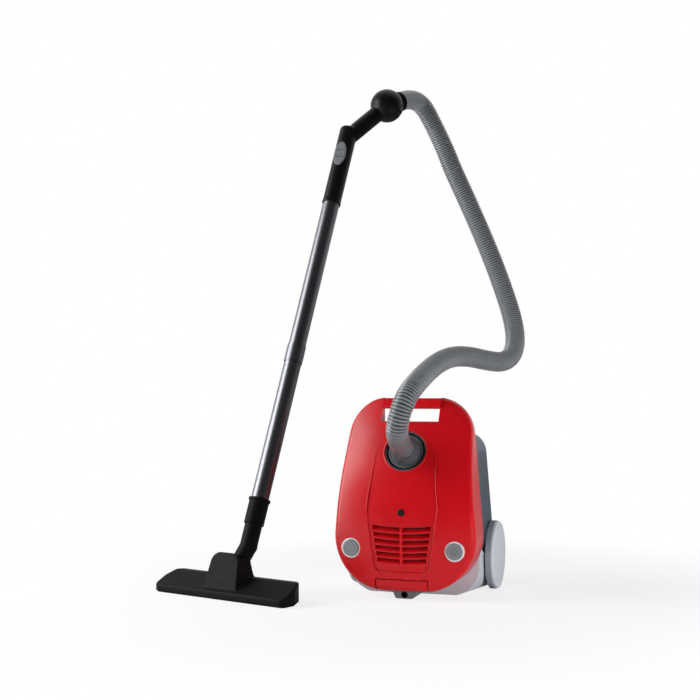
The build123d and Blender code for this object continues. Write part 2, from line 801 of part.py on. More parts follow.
cap_seat_x = wheel_outer_x - cap_rise - 1.0
rim_points = [
    (wheel_inner_x, axle_radius + run_gap), (cap_seat_x - 3, axle_radius + run_gap),
    (cap_seat_x - 3, rim_radius - 3), (cap_seat_x, rim_radius - 3), (cap_seat_x, rim_radius),
    (wheel_inner_x, rim_radius), (wheel_inner_x, rim_radius - 3), (cap_seat_x - 6, rim_radius - 3),
    (cap_seat_x - 6, axle_radius + 5), (wheel_inner_x, axle_radius + 5),
]
tyre_points = [
    (wheel_inner_x, rim_radius), (cap_seat_x, rim_radius), (cap_seat_x, wheel_radius - 1),
    (cap_seat_x - 1, wheel_radius), (wheel_inner_x + 1, wheel_radius), (wheel_inner_x, wheel_radius - 1),
]


def wheel_cap():
    """Domed cap over the wheel's outer face."""
    with BuildPart() as cap:
        with BuildSketch(Plane(origin=(0, wheel_y, wheel_z), x_dir=(1, 0, 0), z_dir=(0, -1, 0))):
            with BuildLine():
                edge = wheel_radius - 1
                Polyline((wheel_outer_x, 0), (cap_seat_x, 0), (cap_seat_x, edge))
                Line((cap_seat_x, edge), (cap_seat_x + 1.2, edge))
                TangentArc((cap_seat_x + 1.2, edge), (cap_seat_x + 1.2 + cap_edge, edge - cap_edge),
                           tangent=(1, 0))
                Line((cap_seat_x + 1.2 + cap_edge, edge - cap_edge), (wheel_outer_x, 0))
            make_face()
        revolve(axis=Axis((0, wheel_y, wheel_z), (1, 0, 0)))
    return cap.part


right_rim_form = wheel_profile(rim_points)
right_tyre_form = wheel_profile(tyre_points)
right_cap_form = wheel_cap()

with BuildPart() as right_wheel_rim:
    add(right_rim_form)
right_wheel_rim.part.label = "right_wheel_rim"
export_step(right_wheel_rim.part, "parts/right_wheel_rim.step")

with BuildPart() as right_wheel_tyre:
    add(right_tyre_form)
right_wheel_tyre.part.label = "right_wheel_tyre"
export_step(right_wheel_tyre.part, "parts/right_wheel_tyre.step")

with BuildPart() as right_wheel_cap:
    add(right_cap_form)
right_wheel_cap.part.label = "right_wheel_cap"
export_step(right_wheel_cap.part, "parts/right_wheel_cap.step")

with BuildPart() as left_wheel_rim:
    add(right_rim_form.mirror(Plane.YZ))
left_wheel_rim.part.label = "left_wheel_rim"
export_step(left_wheel_rim.part, "parts/left_wheel_rim.step")

with BuildPart() as left_wheel_tyre:
    add(right_tyre_form.mirror(Plane.YZ))
left_wheel_tyre.part.label = "left_wheel_tyre"
export_step(left_wheel_tyre.part, "parts/left_wheel_tyre.step")

with BuildPart() as left_wheel_cap:
    add(right_cap_form.mirror(Plane.YZ))
left_wheel_cap.part.label = "left_wheel_cap"
export_step(left_wheel_cap.part, "parts/left_wheel_cap.step")

# Caster in its pocket: fork with a stem, axle pin and small wheel
arm_inner = caster_wheel_width / 2 + slide_gap
fork_plate_y = pocket_floor_y + slide_gap
with BuildPart() as caster_fork:
    rod((0, pocket_floor_y - 10, caster_z), (0, 1, 0), caster_stem_radius, 10 + slide_gap)
    rod((0, fork_plate_y, caster_z), (0, 1, 0), caster_fork_radius, caster_fork_plate)
    for side in (-1, 1):
        arm = sorted((side * arm_inner, side * (arm_inner + caster_arm)))
        block(arm, (fork_plate_y, caster_axle_y), (caster_axle_z - 5, caster_axle_z + 5))
        rod((arm[0], caster_axle_y, caster_axle_z), (1, 0, 0), 5, caster_arm)
    rod((-20, caster_axle_y, caster_axle_z), (1, 0, 0), caster_pin_radius, 40, Mode.SUBTRACT)
caster_fork.part.label = "caster_fork"
export_step(caster_fork.part, "parts/caster_fork.step")

with BuildPart() as caster_axle:
    rod((-arm_inner - caster_arm, caster_axle_y, caster_axle_z), (1, 0, 0), caster_pin_radius,
        2 * (arm_inner + caster_arm))
caster_axle.part.label = "caster_axle"
export_step(caster_axle.part, "parts/caster_axle.step")

with BuildPart() as caster_wheel:
    rod((-caster_wheel_width / 2, caster_axle_y, caster_axle_z), (1, 0, 0), caster_wheel_radius,
        caster_wheel_width)
    fillet(caster_wheel.edges(), 1.5)
    rod((-caster_wheel_width, caster_axle_y, caster_axle_z), (1, 0, 0), caster_pin_radius + run_gap,
        2 * caster_wheel_width, Mode.SUBTRACT)
caster_wheel.part.label = "caster_wheel"
export_step(caster_wheel.part, "parts/caster_wheel.step")

# Motor: housing cup, rubber mount, stator, bearings, and the shaft with its armature and impeller
motor_foot = (motor_x, motor_y, motor_bottom_z)
shaft_bottom_z = motor_bottom_z + motor_wall
stator_z = motor_bottom_z + 16.0
impeller_z = motor_top_z - impeller_height - 4
deck_z = impeller_z - 6
with BuildPart() as motor_housing:
    rod(motor_foot, (0, 0, 1), motor_radius, motor_top_z - motor_bottom_z)
    rod((motor_x, motor_y, motor_bottom_z + motor_wall), (0, 0, 1), motor_radius - motor_wall,
        motor_top_z, Mode.SUBTRACT)
    rod((motor_x, motor_y, deck_z), (0, 0, 1), motor_radius, 3)
    rod((motor_x, motor_y, stator_z), (0, 0, 1), motor_radius - 1, stator_height)
    rod((motor_x, motor_y, stator_z), (0, 0, 1), stator_outer, stator_height, Mode.SUBTRACT)
    rod((motor_x, motor_y, deck_z), (0, 0, 1), shaft_radius + 5, 3, Mode.SUBTRACT)
    for angle in (45, 135, 225, 315):
        vent = Vector(stator_outer + 4, 0, 0).rotate(Axis.Z, angle)
        rod((motor_x + vent.X, motor_y + vent.Y, motor_bottom_z - 1), (0, 0, 1), 3,
            deck_z + 10 - motor_bottom_z, Mode.SUBTRACT)
motor_housing.part.label = "motor_housing"
export_step(motor_housing.part, "parts/motor_housing.step")

with BuildPart() as motor_mount:
    rod((motor_x, motor_y, motor_top_z), (0, 0, 1), motor_radius, mount_height)
    rod((motor_x, motor_y, motor_top_z), (0, 0, 1), inlet_eye, mount_height, Mode.SUBTRACT)
motor_mount.part.label = "motor_mount"
export_step(motor_mount.part, "parts/motor_mount.step")

with BuildPart() as motor_stator:
    rod((motor_x, motor_y, stator_z), (0, 0, 1), stator_outer, stator_height)
    rod((motor_x, motor_y, stator_z), (0, 0, 1), stator_inner, stator_height, Mode.SUBTRACT)
motor_stator.part.label = "motor_stator"
export_step(motor_stator.part, "parts/motor_stator.step")

with BuildPart() as motor_bearings:
    rod((motor_x, motor_y, deck_z), (0, 0, 1), shaft_radius + 5, 3)
    rod((motor_x, motor_y, shaft_bottom_z), (0, 0, 1), shaft_radius + 5, 5)
    rod((motor_x, motor_y, shaft_bottom_z), (0, 0, 1), shaft_radius + run_gap, 200, Mode.SUBTRACT)
motor_bearings.part.label = "motor_bearings"
export_step(motor_bearings.part, "parts/motor_bearings.step")

with BuildPart() as motor_armature:
    rod((motor_x, motor_y, shaft_bottom_z + 0.3), (0, 0, 1), shaft_radius,
        impeller_z + impeller_height - shaft_bottom_z)
    rod((motor_x, motor_y, stator_z + (stator_height - armature_height) / 2), (0, 0, 1),
        armature_radius, armature_height)
motor_armature.part.label = "motor_armature"
export_step(motor_armature.part, "parts/motor_armature.step")

with BuildPart() as fan_impeller:
    rod((motor_x, motor_y, impeller_z), (0, 0, 1), impeller_radius, 2)
    rod((motor_x, motor_y, impeller_z), (0, 0, 1), shaft_radius + 4, impeller_height)
    for blade in range(7):
        middle = Vector((impeller_radius + shaft_radius) / 2 + 1, 0, 0).rotate(Axis.Z, blade * 360 / 7)
        blade_plane = Plane(
            origin=(motor_x + middle.X, motor_y + middle.Y, impeller_z + impeller_height / 2),
            x_dir=Vector(1, 0, 0).rotate(Axis.Z, blade * 360 / 7 + 28), z_dir=(0, 0, 1))
        with Locations(blade_plane):
            Box(impeller_radius - shaft_radius - 10, 1.6, impeller_height)
    rod((motor_x, motor_y, impeller_z - 1), (0, 0, 1), shaft_radius, impeller_height + 2, Mode.SUBTRACT)
fan_impeller.part.label = "fan_impeller"
export_step(fan_impeller.part, "parts/fan_impeller.step")

# Cord reel on an axle from the tub's back wall
reel_back_y = housing_back_y - housing_wall
reel_rear_face = reel_back_y - reel_foot_thickness - 2
with BuildPart() as reel_axle:
    rod((reel_x, reel_back_y, reel_z), (0, -1, 0), reel_foot, reel_foot_thickness)
    rod((reel_x, reel_back_y, reel_z), (0, -1, 0), reel_axle_radius,
        reel_foot_thickness + 2 + reel_width + 4)
reel_axle.part.label = "reel_axle"
export_step(reel_axle.part, "parts/reel_axle.step")

with BuildPart() as cord_reel:
    rod((reel_x, reel_rear_face, reel_z), (0, -1, 0), reel_core, reel_width)
    rod((reel_x, reel_rear_face, reel_z), (0, -1, 0), reel_radius, reel_flange)
    rod((reel_x, reel_rear_face - reel_width + reel_flange, reel_z), (0, -1, 0), reel_radius, reel_flange)
    rod((reel_x, reel_rear_face + 1, reel_z), (0, -1, 0), reel_axle_radius + run_gap, reel_width + 2,
        Mode.SUBTRACT)
cord_reel.part.label = "cord_reel"
export_step(cord_reel.part, "parts/cord_reel.step")

# Motor filter, dust bag, bag collar and holder
with BuildPart() as motor_filter:
    rod((motor_x, motor_y, partition_z + partition_thickness), (0, 0, 1), inlet_eye + 10,
        motor_filter_thickness)
motor_filter.part.label = "motor_filter"
export_step(motor_filter.part, "parts/motor_filter.step")

collar_back_y = collar_y + collar_thickness
holder_back_y = collar_back_y + bag_holder_thickness
roof_fall = housing_taper * (holder_back_y - housing_front_y) / (housing_back_y - housing_front_y)
collar_top_z = housing_top_z - housing_wall - roof_fall - seat_gap
with BuildPart() as dust_bag:
    block((-bag_width / 2, bag_width / 2), (bag_front_y, bag_back_y), (bag_bottom_z, bag_top_z))
    fillet(dust_bag.edges(), bag_corner)
    rod((0, collar_back_y, bag_inlet_z), (0, 1, 0), bag_neck, bag_front_y - collar_back_y + bag_corner)
dust_bag.part.label = "dust_bag"
export_step(dust_bag.part, "parts/dust_bag.step")

with BuildPart() as bag_collar:
    block((-collar_width / 2, collar_width / 2), (collar_y, collar_back_y),
          (bag_inlet_z - collar_height / 2, bag_inlet_z + collar_height / 2))
    rod((0, collar_y - 1, bag_inlet_z), (0, 1, 0), bag_neck - 2, 10, Mode.SUBTRACT)
bag_collar.part.label = "bag_collar"
export_step(bag_collar.part, "parts/bag_collar.step")

with BuildPart() as bag_holder:
    block((-collar_width / 2 - 5, collar_width / 2 + 5), (collar_back_y, holder_back_y),
          (bag_inlet_z - collar_height / 2 - 5, collar_top_z))
    rod((0, collar_y, bag_inlet_z), (0, 1, 0), bag_neck + seat_gap, 20, Mode.SUBTRACT)
bag_holder.part.label = "bag_holder"
export_step(bag_holder.part, "parts/bag_holder.step")

# Power switch on its shelf behind the power button
with BuildPart() as power_switch:
    block((button_spread - switch_size[0] / 2, button_spread + switch_size[0] / 2),
          (housing_front_y + slide_gap, housing_front_y + switch_size[1]),
          (button_z - switch_size[2] / 2, button_z + switch_size[2] / 2))
power_switch.part.label = "power_switch"
export_step(power_switch.part, "parts/power_switch.step")

# Swivel cuff in the inlet: disc in the well, tube in the socket, cone to the hose
with BuildPart() as hose_swivel:
    rod(on_inlet(-swivel_seat), inlet_axis, swivel_disc, swivel_disc_thickness)
    fillet(hose_swivel.edges(), 1.2)
    with Locations(Plane(origin=on_inlet(swivel_disc_thickness - swivel_seat), z_dir=inlet_axis)):
        Cone(swivel_cone, swivel_cone_end, hose_start + swivel_seat - swivel_disc_thickness,
             align=(Align.CENTER, Align.CENTER, Align.MIN))
    rod(on_inlet(1 - swivel_seat), -inlet_axis, inlet_bore, swivel_length)
    rod(on_inlet(-100), inlet_axis, hose_bore, 200, Mode.SUBTRACT)
hose_swivel.part.label = "hose_swivel"
export_step(hose_swivel.part, "parts/hose_swivel.step")

# Hose handle: barrel over the upper tube, grip to the ball, bleed slot on the front
bend = on_wand(wand_visible + handle_bend)
ball = bend + Vector(*ball_offset)
grip_direction = Vector(*ball_offset).normalized()
front_normal = across(wand_direction, (0, -1, 0))
slider_seat = on_wand(wand_visible + slider_at) + front_normal * handle_radius
slider_plane = Plane(origin=slider_seat, x_dir=wand_direction, z_dir=front_normal)
slot_length = slider_foot + 2 * slider_travel + 2
with BuildPart() as hose_handle:
    rod(on_wand(wand_visible), wand_direction, handle_radius, handle_barrel)
    fillet(hose_handle.faces().sort_by(Axis.Z)[-1].edges(), 7)
    rod(on_wand(wand_visible), wand_direction, handle_lip, handle_lip_height)
    rod(bend, grip_direction, grip_radius, Vector(*ball_offset).length)
    with Locations(ball):
        Sphere(ball_radius)
    lug_direction = across(exit_direction, (0.6, -0.5, -0.5))
    rod(ball + lug_direction * (ball_radius - 3), lug_direction, lug_radius, lug_length)
    rod(on_wand(wand_visible), wand_direction, tube_radius + seat_gap, handle_tube_seat, Mode.SUBTRACT)
    rod(on_wand(wand_visible), wand_direction, handle_bore, handle_bend, Mode.SUBTRACT)
    with Locations(bend):
        Sphere(handle_bore + 0.6, mode=Mode.SUBTRACT)
    rod(bend, grip_direction, handle_bore - 1, Vector(*ball_offset).length, Mode.SUBTRACT)
    with Locations(ball):
        Sphere(handle_bore + 4, mode=Mode.SUBTRACT)
    rod(ball, exit_direction, hose_bore + cuff_wall + run_gap, ball_radius + 5, Mode.SUBTRACT)
    with Locations(slider_plane):
        Box(slot_length, 5.0, 20, align=(Align.CENTER, Align.CENTER, Align.CENTER), mode=Mode.SUBTRACT)
hose_handle.part.label = "hose_handle"
export_step(hose_handle.part, "parts/hose_handle.step")

# Suction slider: oval saddle on the barrel with two grooves, and a foot in the slot
slider_top = slide_gap + slider_thickness
with BuildPart() as suction_slider:
    with BuildSketch(slider_plane.offset(-slider_wrap)):
        Ellipse(slider_length / 2, slider_width / 2)
    extrude(amount=slider_wrap + slider_top)
    fillet(suction_slider.faces().sort_by(Axis(slider_seat, front_normal))[-1].edges(), 1.2)
    rod(on_wand(wand_visible), wand_direction, handle_radius + slide_gap, handle_barrel, Mode.SUBTRACT)
    with Locations(slider_plane.offset(slider_top)):
        with GridLocations(slider_groove_spread, 0, 2, 1):
            Box(slider_groove, slider_width, 2 * slider_groove, mode=Mode.SUBTRACT)
    with Locations(slider_plane.offset(slide_gap + 1)):
        Box(slider_foot, 4.2, 5, align=(Align.CENTER, Align.CENTER, Align.MAX))
suction_slider.part.label = "suction_slider"
export_step(suction_slider.part, "parts/suction_slider.step")

# Wand tubes: the upper one slides into the lower one's widened end
joint_low = lower_tube_length - tube_overlap
with BuildPart() as lower_tube:
    rod(on_wand(-tube_seat), wand_direction, tube_radius, joint_low + tube_seat)
    rod(on_wand(joint_low - tube_shoulder), wand_direction, tube_radius + seat_gap + tube_socket_wall,
        tube_shoulder + tube_overlap)
    rod(on_wand(-tube_seat), wand_direction, tube_radius - tube_wall, joint_low + tube_seat, Mode.SUBTRACT)
    rod(on_wand(joint_low), wand_direction, tube_radius + seat_gap, tube_overlap, Mode.SUBTRACT)
lower_tube.part.label = "lower_tube"
export_step(lower_tube.part, "parts/lower_tube.step")

upper_length = wand_visible + handle_tube_seat - joint_low
with BuildPart() as upper_tube:
    rod(on_wand(joint_low), wand_direction, tube_radius, upper_length)
    rod(on_wand(joint_low), wand_direction, tube_radius - tube_wall, upper_length, Mode.SUBTRACT)
upper_tube.part.label = "upper_tube"
export_step(upper_tube.part, "parts/upper_tube.step")

# Wand collar at the foot of the wand
with BuildPart() as wand_collar:
    rod(on_wand(-collar_length), wand_direction, collar_radius, collar_length)
    rod(on_wand(-collar_flange_height / 2), wand_direction, collar_flange, collar_flange_height)
    rod(on_wand(-tube_seat), wand_direction, tube_radius + seat_gap, tube_seat + 20, Mode.SUBTRACT)
    rod(on_wand(-collar_length), wand_direction, spigot_radius + run_gap, collar_length, Mode.SUBTRACT)
wand_collar.part.label = "wand_collar"
export_step(wand_collar.part, "parts/wand_collar.step")

# Neck elbow: barrel on the head's pivot, tube to the bend, spigot in the wand collar
knee = on_wand(-neck_bend)
shin = knee - pivot
neck_top = -collar_length - slide_gap
with BuildPart() as neck_elbow:
    rod(pivot - head_across * barrel_half, head_across, barrel_radius, 2 * barrel_half)
    rod(pivot, shin, neck_radius, shin.length)
    with Locations(knee):
        Sphere(neck_radius + 0.4)
    rod(knee, wand_direction, neck_radius, neck_bend + neck_top)
    rod(knee, wand_direction, spigot_radius, neck_bend + neck_top + spigot_length)
    rod(pivot + shin.normalized() * 8, shin, neck_radius - neck_wall, shin.length - 8, Mode.SUBTRACT)
    with Locations(knee):
        Sphere(spigot_radius - neck_wall + 0.6, mode=Mode.SUBTRACT)
    rod(knee, wand_direction, spigot_radius - neck_wall, neck_bend, Mode.SUBTRACT)
    rod(pivot - head_across * 60, head_across, pivot_pin_radius + run_gap, 120, Mode.SUBTRACT)
neck_elbow.part.label = "neck_elbow"
export_step(neck_elbow.part, "parts/neck_elbow.step")


def head_form(inset, low):
    """Wedge form of the floor head with a tapered plan, pulled in by an inset."""
    with BuildPart() as form:
        with BuildSketch(Plane.XY.offset(low)) as plan:
            front = head_front_y + inset
            back = head_back_y - inset
            with BuildLine():
                Polyline(
                    (head_x - head_front_width / 2 + inset, front),
                    (head_x + head_front_width / 2 - inset, front),
                    (head_x + head_front_width / 2 - inset, (front + back) / 2),
                    (head_x + head_back_width / 2 - inset, back),
                    (head_x - head_back_width / 2 + inset, back),
                    (head_x - head_front_width / 2 + inset, (front + back) / 2),
                    close=True,
                )
            make_face()
            fillet(plan.vertices(), head_corner - inset)
        extrude(amount=head_top_z - inset - low)
        with BuildSketch(Plane.YZ.offset(head_x - head_front_width)):
            with BuildLine():
                Polyline(
                    (head_front_y - 1, head_front_height - inset - 1),
                    (head_slope_y, head_top_z - inset),
                    (head_slope_y, head_top_z + 10),
                    (head_front_y - 1, head_top_z + 10),
                    close=True,
                )
            make_face()
        extrude(amount=2 * head_front_width, mode=Mode.SUBTRACT)
    return form.part


head_outer = head_form(0, head_skirt_z)
head_inner = head_form(head_wall, 0)
cowl_inner = barrel_half + slide_gap
cowl_outer = cowl_inner + cowl_wall
slope_rise = (head_top_z - head_front_height) / (head_slope_y - head_front_y)
cowl_foot_z = head_front_height + (cowl_front_y - head_front_y) * slope_rise - 1.5
with BuildPart() as cowl:
    with BuildSketch(Plane.YZ.offset(head_x - cowl_outer - cowl_flare)):
        with BuildLine():
            Polyline(
                (cowl_front_y, cowl_foot_z),
                (cowl_ridge_y, cowl_top_z),
                (pivot_y + 6, cowl_top_z),
                (head_back_y - head_edge, head_top_z + 2),
                (head_back_y - head_edge, brush_height + slide_gap),
                (cowl_front_y, brush_height + slide_gap),
                close=True,
            )
        make_face()
    extrude(amount=2 * (cowl_outer + cowl_flare))
    with BuildSketch(Plane.XZ.offset(-head_back_y)) as cowl_face:
        with BuildLine():
            Polyline(
                (head_x - cowl_outer - cowl_flare, 0),
                (head_x + cowl_outer + cowl_flare, 0),
                (head_x + cowl_outer - 2, cowl_top_z),
                (head_x - cowl_outer + 2, cowl_top_z),
                close=True,
            )
        make_face()
        fillet(cowl_face.vertices().group_by(Axis.Y)[-1], cowl_corner)
    extrude(amount=head_back_y - head_front_y + 10, mode=Mode.INTERSECT)
with BuildPart() as head_shell:
    add(head_outer)
    top_edges = head_shell.edges().filter_by(lambda edge: edge.center().Z > head_front_height - 4)
    fillet(top_edges.filter_by(lambda edge: edge.bounding_box().size.Z < head_front_height), head_edge)
    add(head_inner, mode=Mode.SUBTRACT)
    add(cowl.part)
    with BuildSketch(Plane.YZ.offset(head_x - cowl_inner)):
        with BuildLine():
            Polyline(
                (cowl_front_y + 9, sole_thickness),
                (cowl_front_y + 9, cowl_foot_z + 5),
                (cowl_ridge_y + cowl_lip, cowl_top_z - 6),
                (cowl_ridge_y + cowl_lip, cowl_top_z + 20),
                (head_back_y + 20, cowl_top_z + 20),
                (head_back_y + 20, sole_thickness),
                close=True,
            )
        make_face()
    extrude(amount=2 * cowl_inner, mode=Mode.SUBTRACT)
    rod(pivot - Vector(cowl_outer, 0, 0), (1, 0, 0), pivot_pin_radius, 2 * cowl_outer, Mode.SUBTRACT)
head_shell_turned = head_shell.part.rotate(head_turn, head_yaw)
head_shell_turned.label = "head_shell"
export_step(head_shell_turned, "parts/head_shell.step")

with BuildPart() as pivot_pin:
    rod(pivot - Vector(cowl_outer, 0, 0), (1, 0, 0), pivot_pin_radius, 2 * cowl_outer)
pivot_pin_turned = pivot_pin.part.rotate(head_turn, head_yaw)
pivot_pin_turned.label = "pivot_pin"
export_step(pivot_pin_turned, "parts/pivot_pin.step")

# Sole plate with the suction mouth and the brush grooves
with BuildPart() as sole_plate:
    add(head_form(head_wall + seat_gap, 0))
    block((head_x - 200, head_x + 200), (head_front_y - 50, head_back_y + 50), (0, sole_thickness),
          Mode.INTERSECT)
    block((head_x - mouth_width / 2, head_x + mouth_width / 2),
          (mouth_y - mouth_depth / 2, mouth_y + mouth_depth / 2), (-1, sole_thickness + 1), Mode.SUBTRACT)
    for brush_y in (brush_front_y, brush_rear_y):
        block((head_x - brush_length / 2 - seat_gap, head_x + brush_length / 2 + seat_gap),
              (brush_y - brush_depth / 2 - seat_gap, brush_y + brush_depth / 2 + seat_gap),
              (-1, sole_thickness + 1), Mode.SUBTRACT)
    for side in (-1, 1):
        rod((head_x + side * 80, brush_rear_y - 12, 0.8), (0, 0, 1), screw_radius, 10, Mode.SUBTRACT)
        rod((head_x + side * 80, brush_rear_y - 12, -1), (0, 0, 1), screw_radius, 5, Mode.SUBTRACT)
sole_plate_turned = sole_plate.part.rotate(head_turn, head_yaw)
sole_plate_turned.label = "sole_plate"
export_step(sole_plate_turned, "parts/sole_plate.step")

with BuildPart() as brush_strips:
    for brush_y in (brush_front_y, brush_rear_y):
        block((head_x - brush_length / 2, head_x + brush_length / 2),
              (brush_y - brush_depth / 2, brush_y + brush_depth / 2), (brush_lift, brush_height))
brush_strips_turned = brush_strips.part.rotate(head_turn, head_yaw)
brush_strips_turned.label = "brush_strips"
export_step(brush_strips_turned, "parts/brush_strips.step")

with BuildPart() as head_screws:
    for side in (-1, 1):
        rod((head_x + side * 80, brush_rear_y - 12, 0.8), (0, 0, 1), screw_radius, screw_length)
head_screws_turned = head_screws.part.rotate(head_turn, head_yaw)
head_screws_turned.label = "head_screws"
export_step(head_screws_turned, "parts/head_screws.step")

# Hose: its line is straight runs joined by tangent arcs, as large as the runs allow
route = [on_inlet(hose_start), on_inlet(hose_start + hose_start_run)]
route += [Vector(*point) for point in hose_points]
exit_start = ball + exit_direction * (ball_radius + cuff_length)
route.append(exit_start + exit_direction * hose_exit_run)
route.append(exit_start)
hose_radii = []
for before, here, after in zip(route, route[1:], route[2:]):
    turn = (here - before).get_angle(after - here)
    run = min((here - before).length, (after - here).length)
    hose_radii.append(0.45 * run / tan(radians(turn / 2)))
print("hose radii", [round(radius) for radius in hose_radii])
with BuildLine() as hose_line:
    FilletPolyline(*route, radius=hose_radii)
hose_path = hose_line.wires()[0]
print("hose length", round(hose_path.length), "mm")


def hose_ring(position, x_dir, radius):
    """Circle square to the hose's line."""
    ring_plane = Plane(origin=hose_path.position_at(position), x_dir=x_dir, z_dir=hose_path.tangent_at(position))
    with BuildSketch(ring_plane) as ring:
        Circle(radius)
    return ring.sketch.faces()[0]


# Each rib is four circles, and the circles' X axis is carried along the line without a twist
hose_pattern = [(0.0, hose_valley), (0.2, hose_radius), (0.6, hose_radius), (0.8, hose_valley)]
rings = []
bore_rings = []
ring_axis = across(hose_path.tangent_at(0), (1, 0, 0))
for rib in range(hose_ribs):
    for share, radius in hose_pattern:
        position = (rib + share) / hose_ribs
        ring_axis = across(hose_path.tangent_at(position), ring_axis)
        rings.append(hose_ring(position, ring_axis, radius))
        if share == 0:
            bore_rings.append(hose_ring(position, ring_axis, hose_bore))
ring_axis = across(hose_path.tangent_at(1), ring_axis)
rings.append(hose_ring(1, ring_axis, hose_valley))
bore_rings.append(hose_ring(1, ring_axis, hose_bore))
with BuildPart() as suction_hose:
    loft(rings, ruled=True)
    loft(bore_rings, ruled=True, mode=Mode.SUBTRACT)
suction_hose.part.label = "suction_hose"
export_step(suction_hose.part, "parts/suction_hose.step")
samples = [hose_path.position_at(step / 300) for step in range(301)]
far_pairs = [(a - b).length for i, a in enumerate(samples) for b in samples[i + 30:]]
print("hose least gap to itself", round(min(far_pairs) - 2 * hose_radius, 1), "mm")

# Cuff at the handle end of the hose
with BuildPart() as handle_cuff:
    rod(ball + exit_direction * (ball_radius + run_gap), exit_direction, cuff_radius, cuff_length - run_gap)
    rod(ball + exit_direction * (ball_radius - 8), exit_direction, hose_bore + cuff_wall, 10)
    rod(ball, exit_direction, hose_bore, 80, Mode.SUBTRACT)
handle_cuff.part.label = "handle_cuff"
export_step(handle_cuff.part, "parts/handle_cuff.step")

# Screws in the tub's back wall
with BuildPart() as housing_screws:
    for side in (-1, 1):
        for screw_z in (cover_bottom_z + 70, housing_top_z - 50):
            rod((side * 58, housing_back_y + 1.2, screw_z), (0, -1, 0), screw_radius + 1, 1.2)
housing_screws.part.label = "housing_screws"
export_step(housing_screws.part, "parts/housing_screws.step")
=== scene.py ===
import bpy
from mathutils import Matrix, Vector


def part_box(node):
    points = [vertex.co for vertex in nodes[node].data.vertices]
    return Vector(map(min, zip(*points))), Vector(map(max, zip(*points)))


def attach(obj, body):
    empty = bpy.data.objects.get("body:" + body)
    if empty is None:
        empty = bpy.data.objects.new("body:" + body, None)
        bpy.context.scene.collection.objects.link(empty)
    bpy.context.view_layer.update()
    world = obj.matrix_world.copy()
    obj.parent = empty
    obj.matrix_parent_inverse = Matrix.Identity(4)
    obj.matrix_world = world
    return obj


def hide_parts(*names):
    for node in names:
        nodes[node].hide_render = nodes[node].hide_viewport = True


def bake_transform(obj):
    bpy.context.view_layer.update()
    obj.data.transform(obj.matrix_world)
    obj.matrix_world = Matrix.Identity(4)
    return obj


bl_info = {
    "name": "Canister Vacuum Cleaner",
    "version": (1, 0, 0),
    "blender": (4, 5, 0),
    "location": "View3D > Sidebar > Vacuum",
    "description": "Dresses the packed canister vacuum cleaner with its hose, finishes and stage",
    "category": "Object",
}

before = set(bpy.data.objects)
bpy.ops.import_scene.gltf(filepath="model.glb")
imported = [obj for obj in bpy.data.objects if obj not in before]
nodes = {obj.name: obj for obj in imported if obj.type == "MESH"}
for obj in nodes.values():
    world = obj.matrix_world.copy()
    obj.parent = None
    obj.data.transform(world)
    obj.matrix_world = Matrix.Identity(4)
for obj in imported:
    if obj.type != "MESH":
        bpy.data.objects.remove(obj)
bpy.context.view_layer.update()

from math import cos, pi, radians, sin, tan

import bmesh
import bpy
from bpy.props import FloatProperty, FloatVectorProperty, IntProperty, PointerProperty
from bpy.types import Operator, Panel, PropertyGroup
from mathutils import Matrix, Vector


def linear(hex_code):
    """sRGB hex colour as linear red, green and blue."""
    channels = [int(hex_code[start:start + 2], 16) / 255 for start in (1, 3, 5)]
    return tuple(c / 12.92 if c <= 0.04045 else ((c + 0.055) / 1.055) ** 2.4 for c in channels)


def colour(name, text, hex_code):
    """Colour property with its default given as an sRGB hex value."""
    return FloatVectorProperty(name=name, description=text, subtype="COLOR", size=3, min=0, max=1,
                               default=linear(hex_code))


def length(name, text, metres):
    """Length property in metres."""
    return FloatProperty(name=name, description=text, default=metres, min=0, unit="LENGTH")


def power(name, text, watts):
    """Lamp power property in watts."""
    return FloatProperty(name=name, description=text, default=watts, min=0, unit="POWER")


class VacuumColours(PropertyGroup):
    """Colours of the cleaner's plastics and metals."""
    cover_red: colour("Cover red", "Glossy ABS of the top cover", "#BC0A14")
    housing_slate: colour("Housing slate", "Satin plastic of the lower housing", "#293646")
    bumper_grey: colour("Bumper grey", "Satin plastic of the bumper and wheel caps", "#BFC3CB")
    button_grey: colour("Button grey", "Painted plastic of the round buttons", "#85888C")
    moulding_black: colour("Moulding black", "Plastic of the handle and floor head", "#0E0E10")
    hose_grey: colour("Hose grey", "Soft plastic of the hose's ribs", "#808387")
    # Painted shade: the hose valley colour is laid into the valleys between the hose's ribs
    hose_valley_shade: colour("Hose valley", "Soft plastic between the hose's ribs", "#303235")
    fitting_grey: colour("Fitting grey", "Satin plastic of the slider and the cord guide", "#6E7175")
    tube_metal: colour("Tube metal", "Chromed steel of the wand", "#6A6B6F")
    bag_paper: colour("Bag paper", "Filter paper of the dust bag", "#C9B48C")


class VacuumSizes(PropertyGroup):
    """Sizes of what repeats or follows a path."""
    hose_radius: length("Hose radius", "Radius over the hose's ribs", 0.019)
    hose_rib_depth: length("Rib depth", "Depth of the hose's ribs", 0.0017)
    hose_rib_pitch: length("Rib pitch", "Distance from rib to rib along the hose", 0.0048)
    hose_inlet_cuff: length("Inlet cuff", "Smooth length of the hose at the inlet", 0.046)
    hose_handle_cuff: length("Handle cuff", "Smooth length of the hose at the handle", 0.046)
    panel_bead: length("Panel bead", "Radius of the bead round the front panel", 0.0011)
    inlet_bead: length("Inlet bead", "Radius of the bead round the inlet", 0.0016)
    bristle_length: length("Bristle length", "Length of the floor head's bristles", 0.0068)
    bristle_radius: length("Bristle radius", "Radius of one bristle, drawn coarse enough to show", 0.00028)
    bristle_count: IntProperty(name="Bristles", description="Bristles in each line of a strip",
                               default=110, min=8)
    bag_crease: length("Bag creases", "Depth of the dust bag's creases", 0.004)
    form_voxel: length("Form voxel", "Grain of the eased black mouldings", 0.0014)


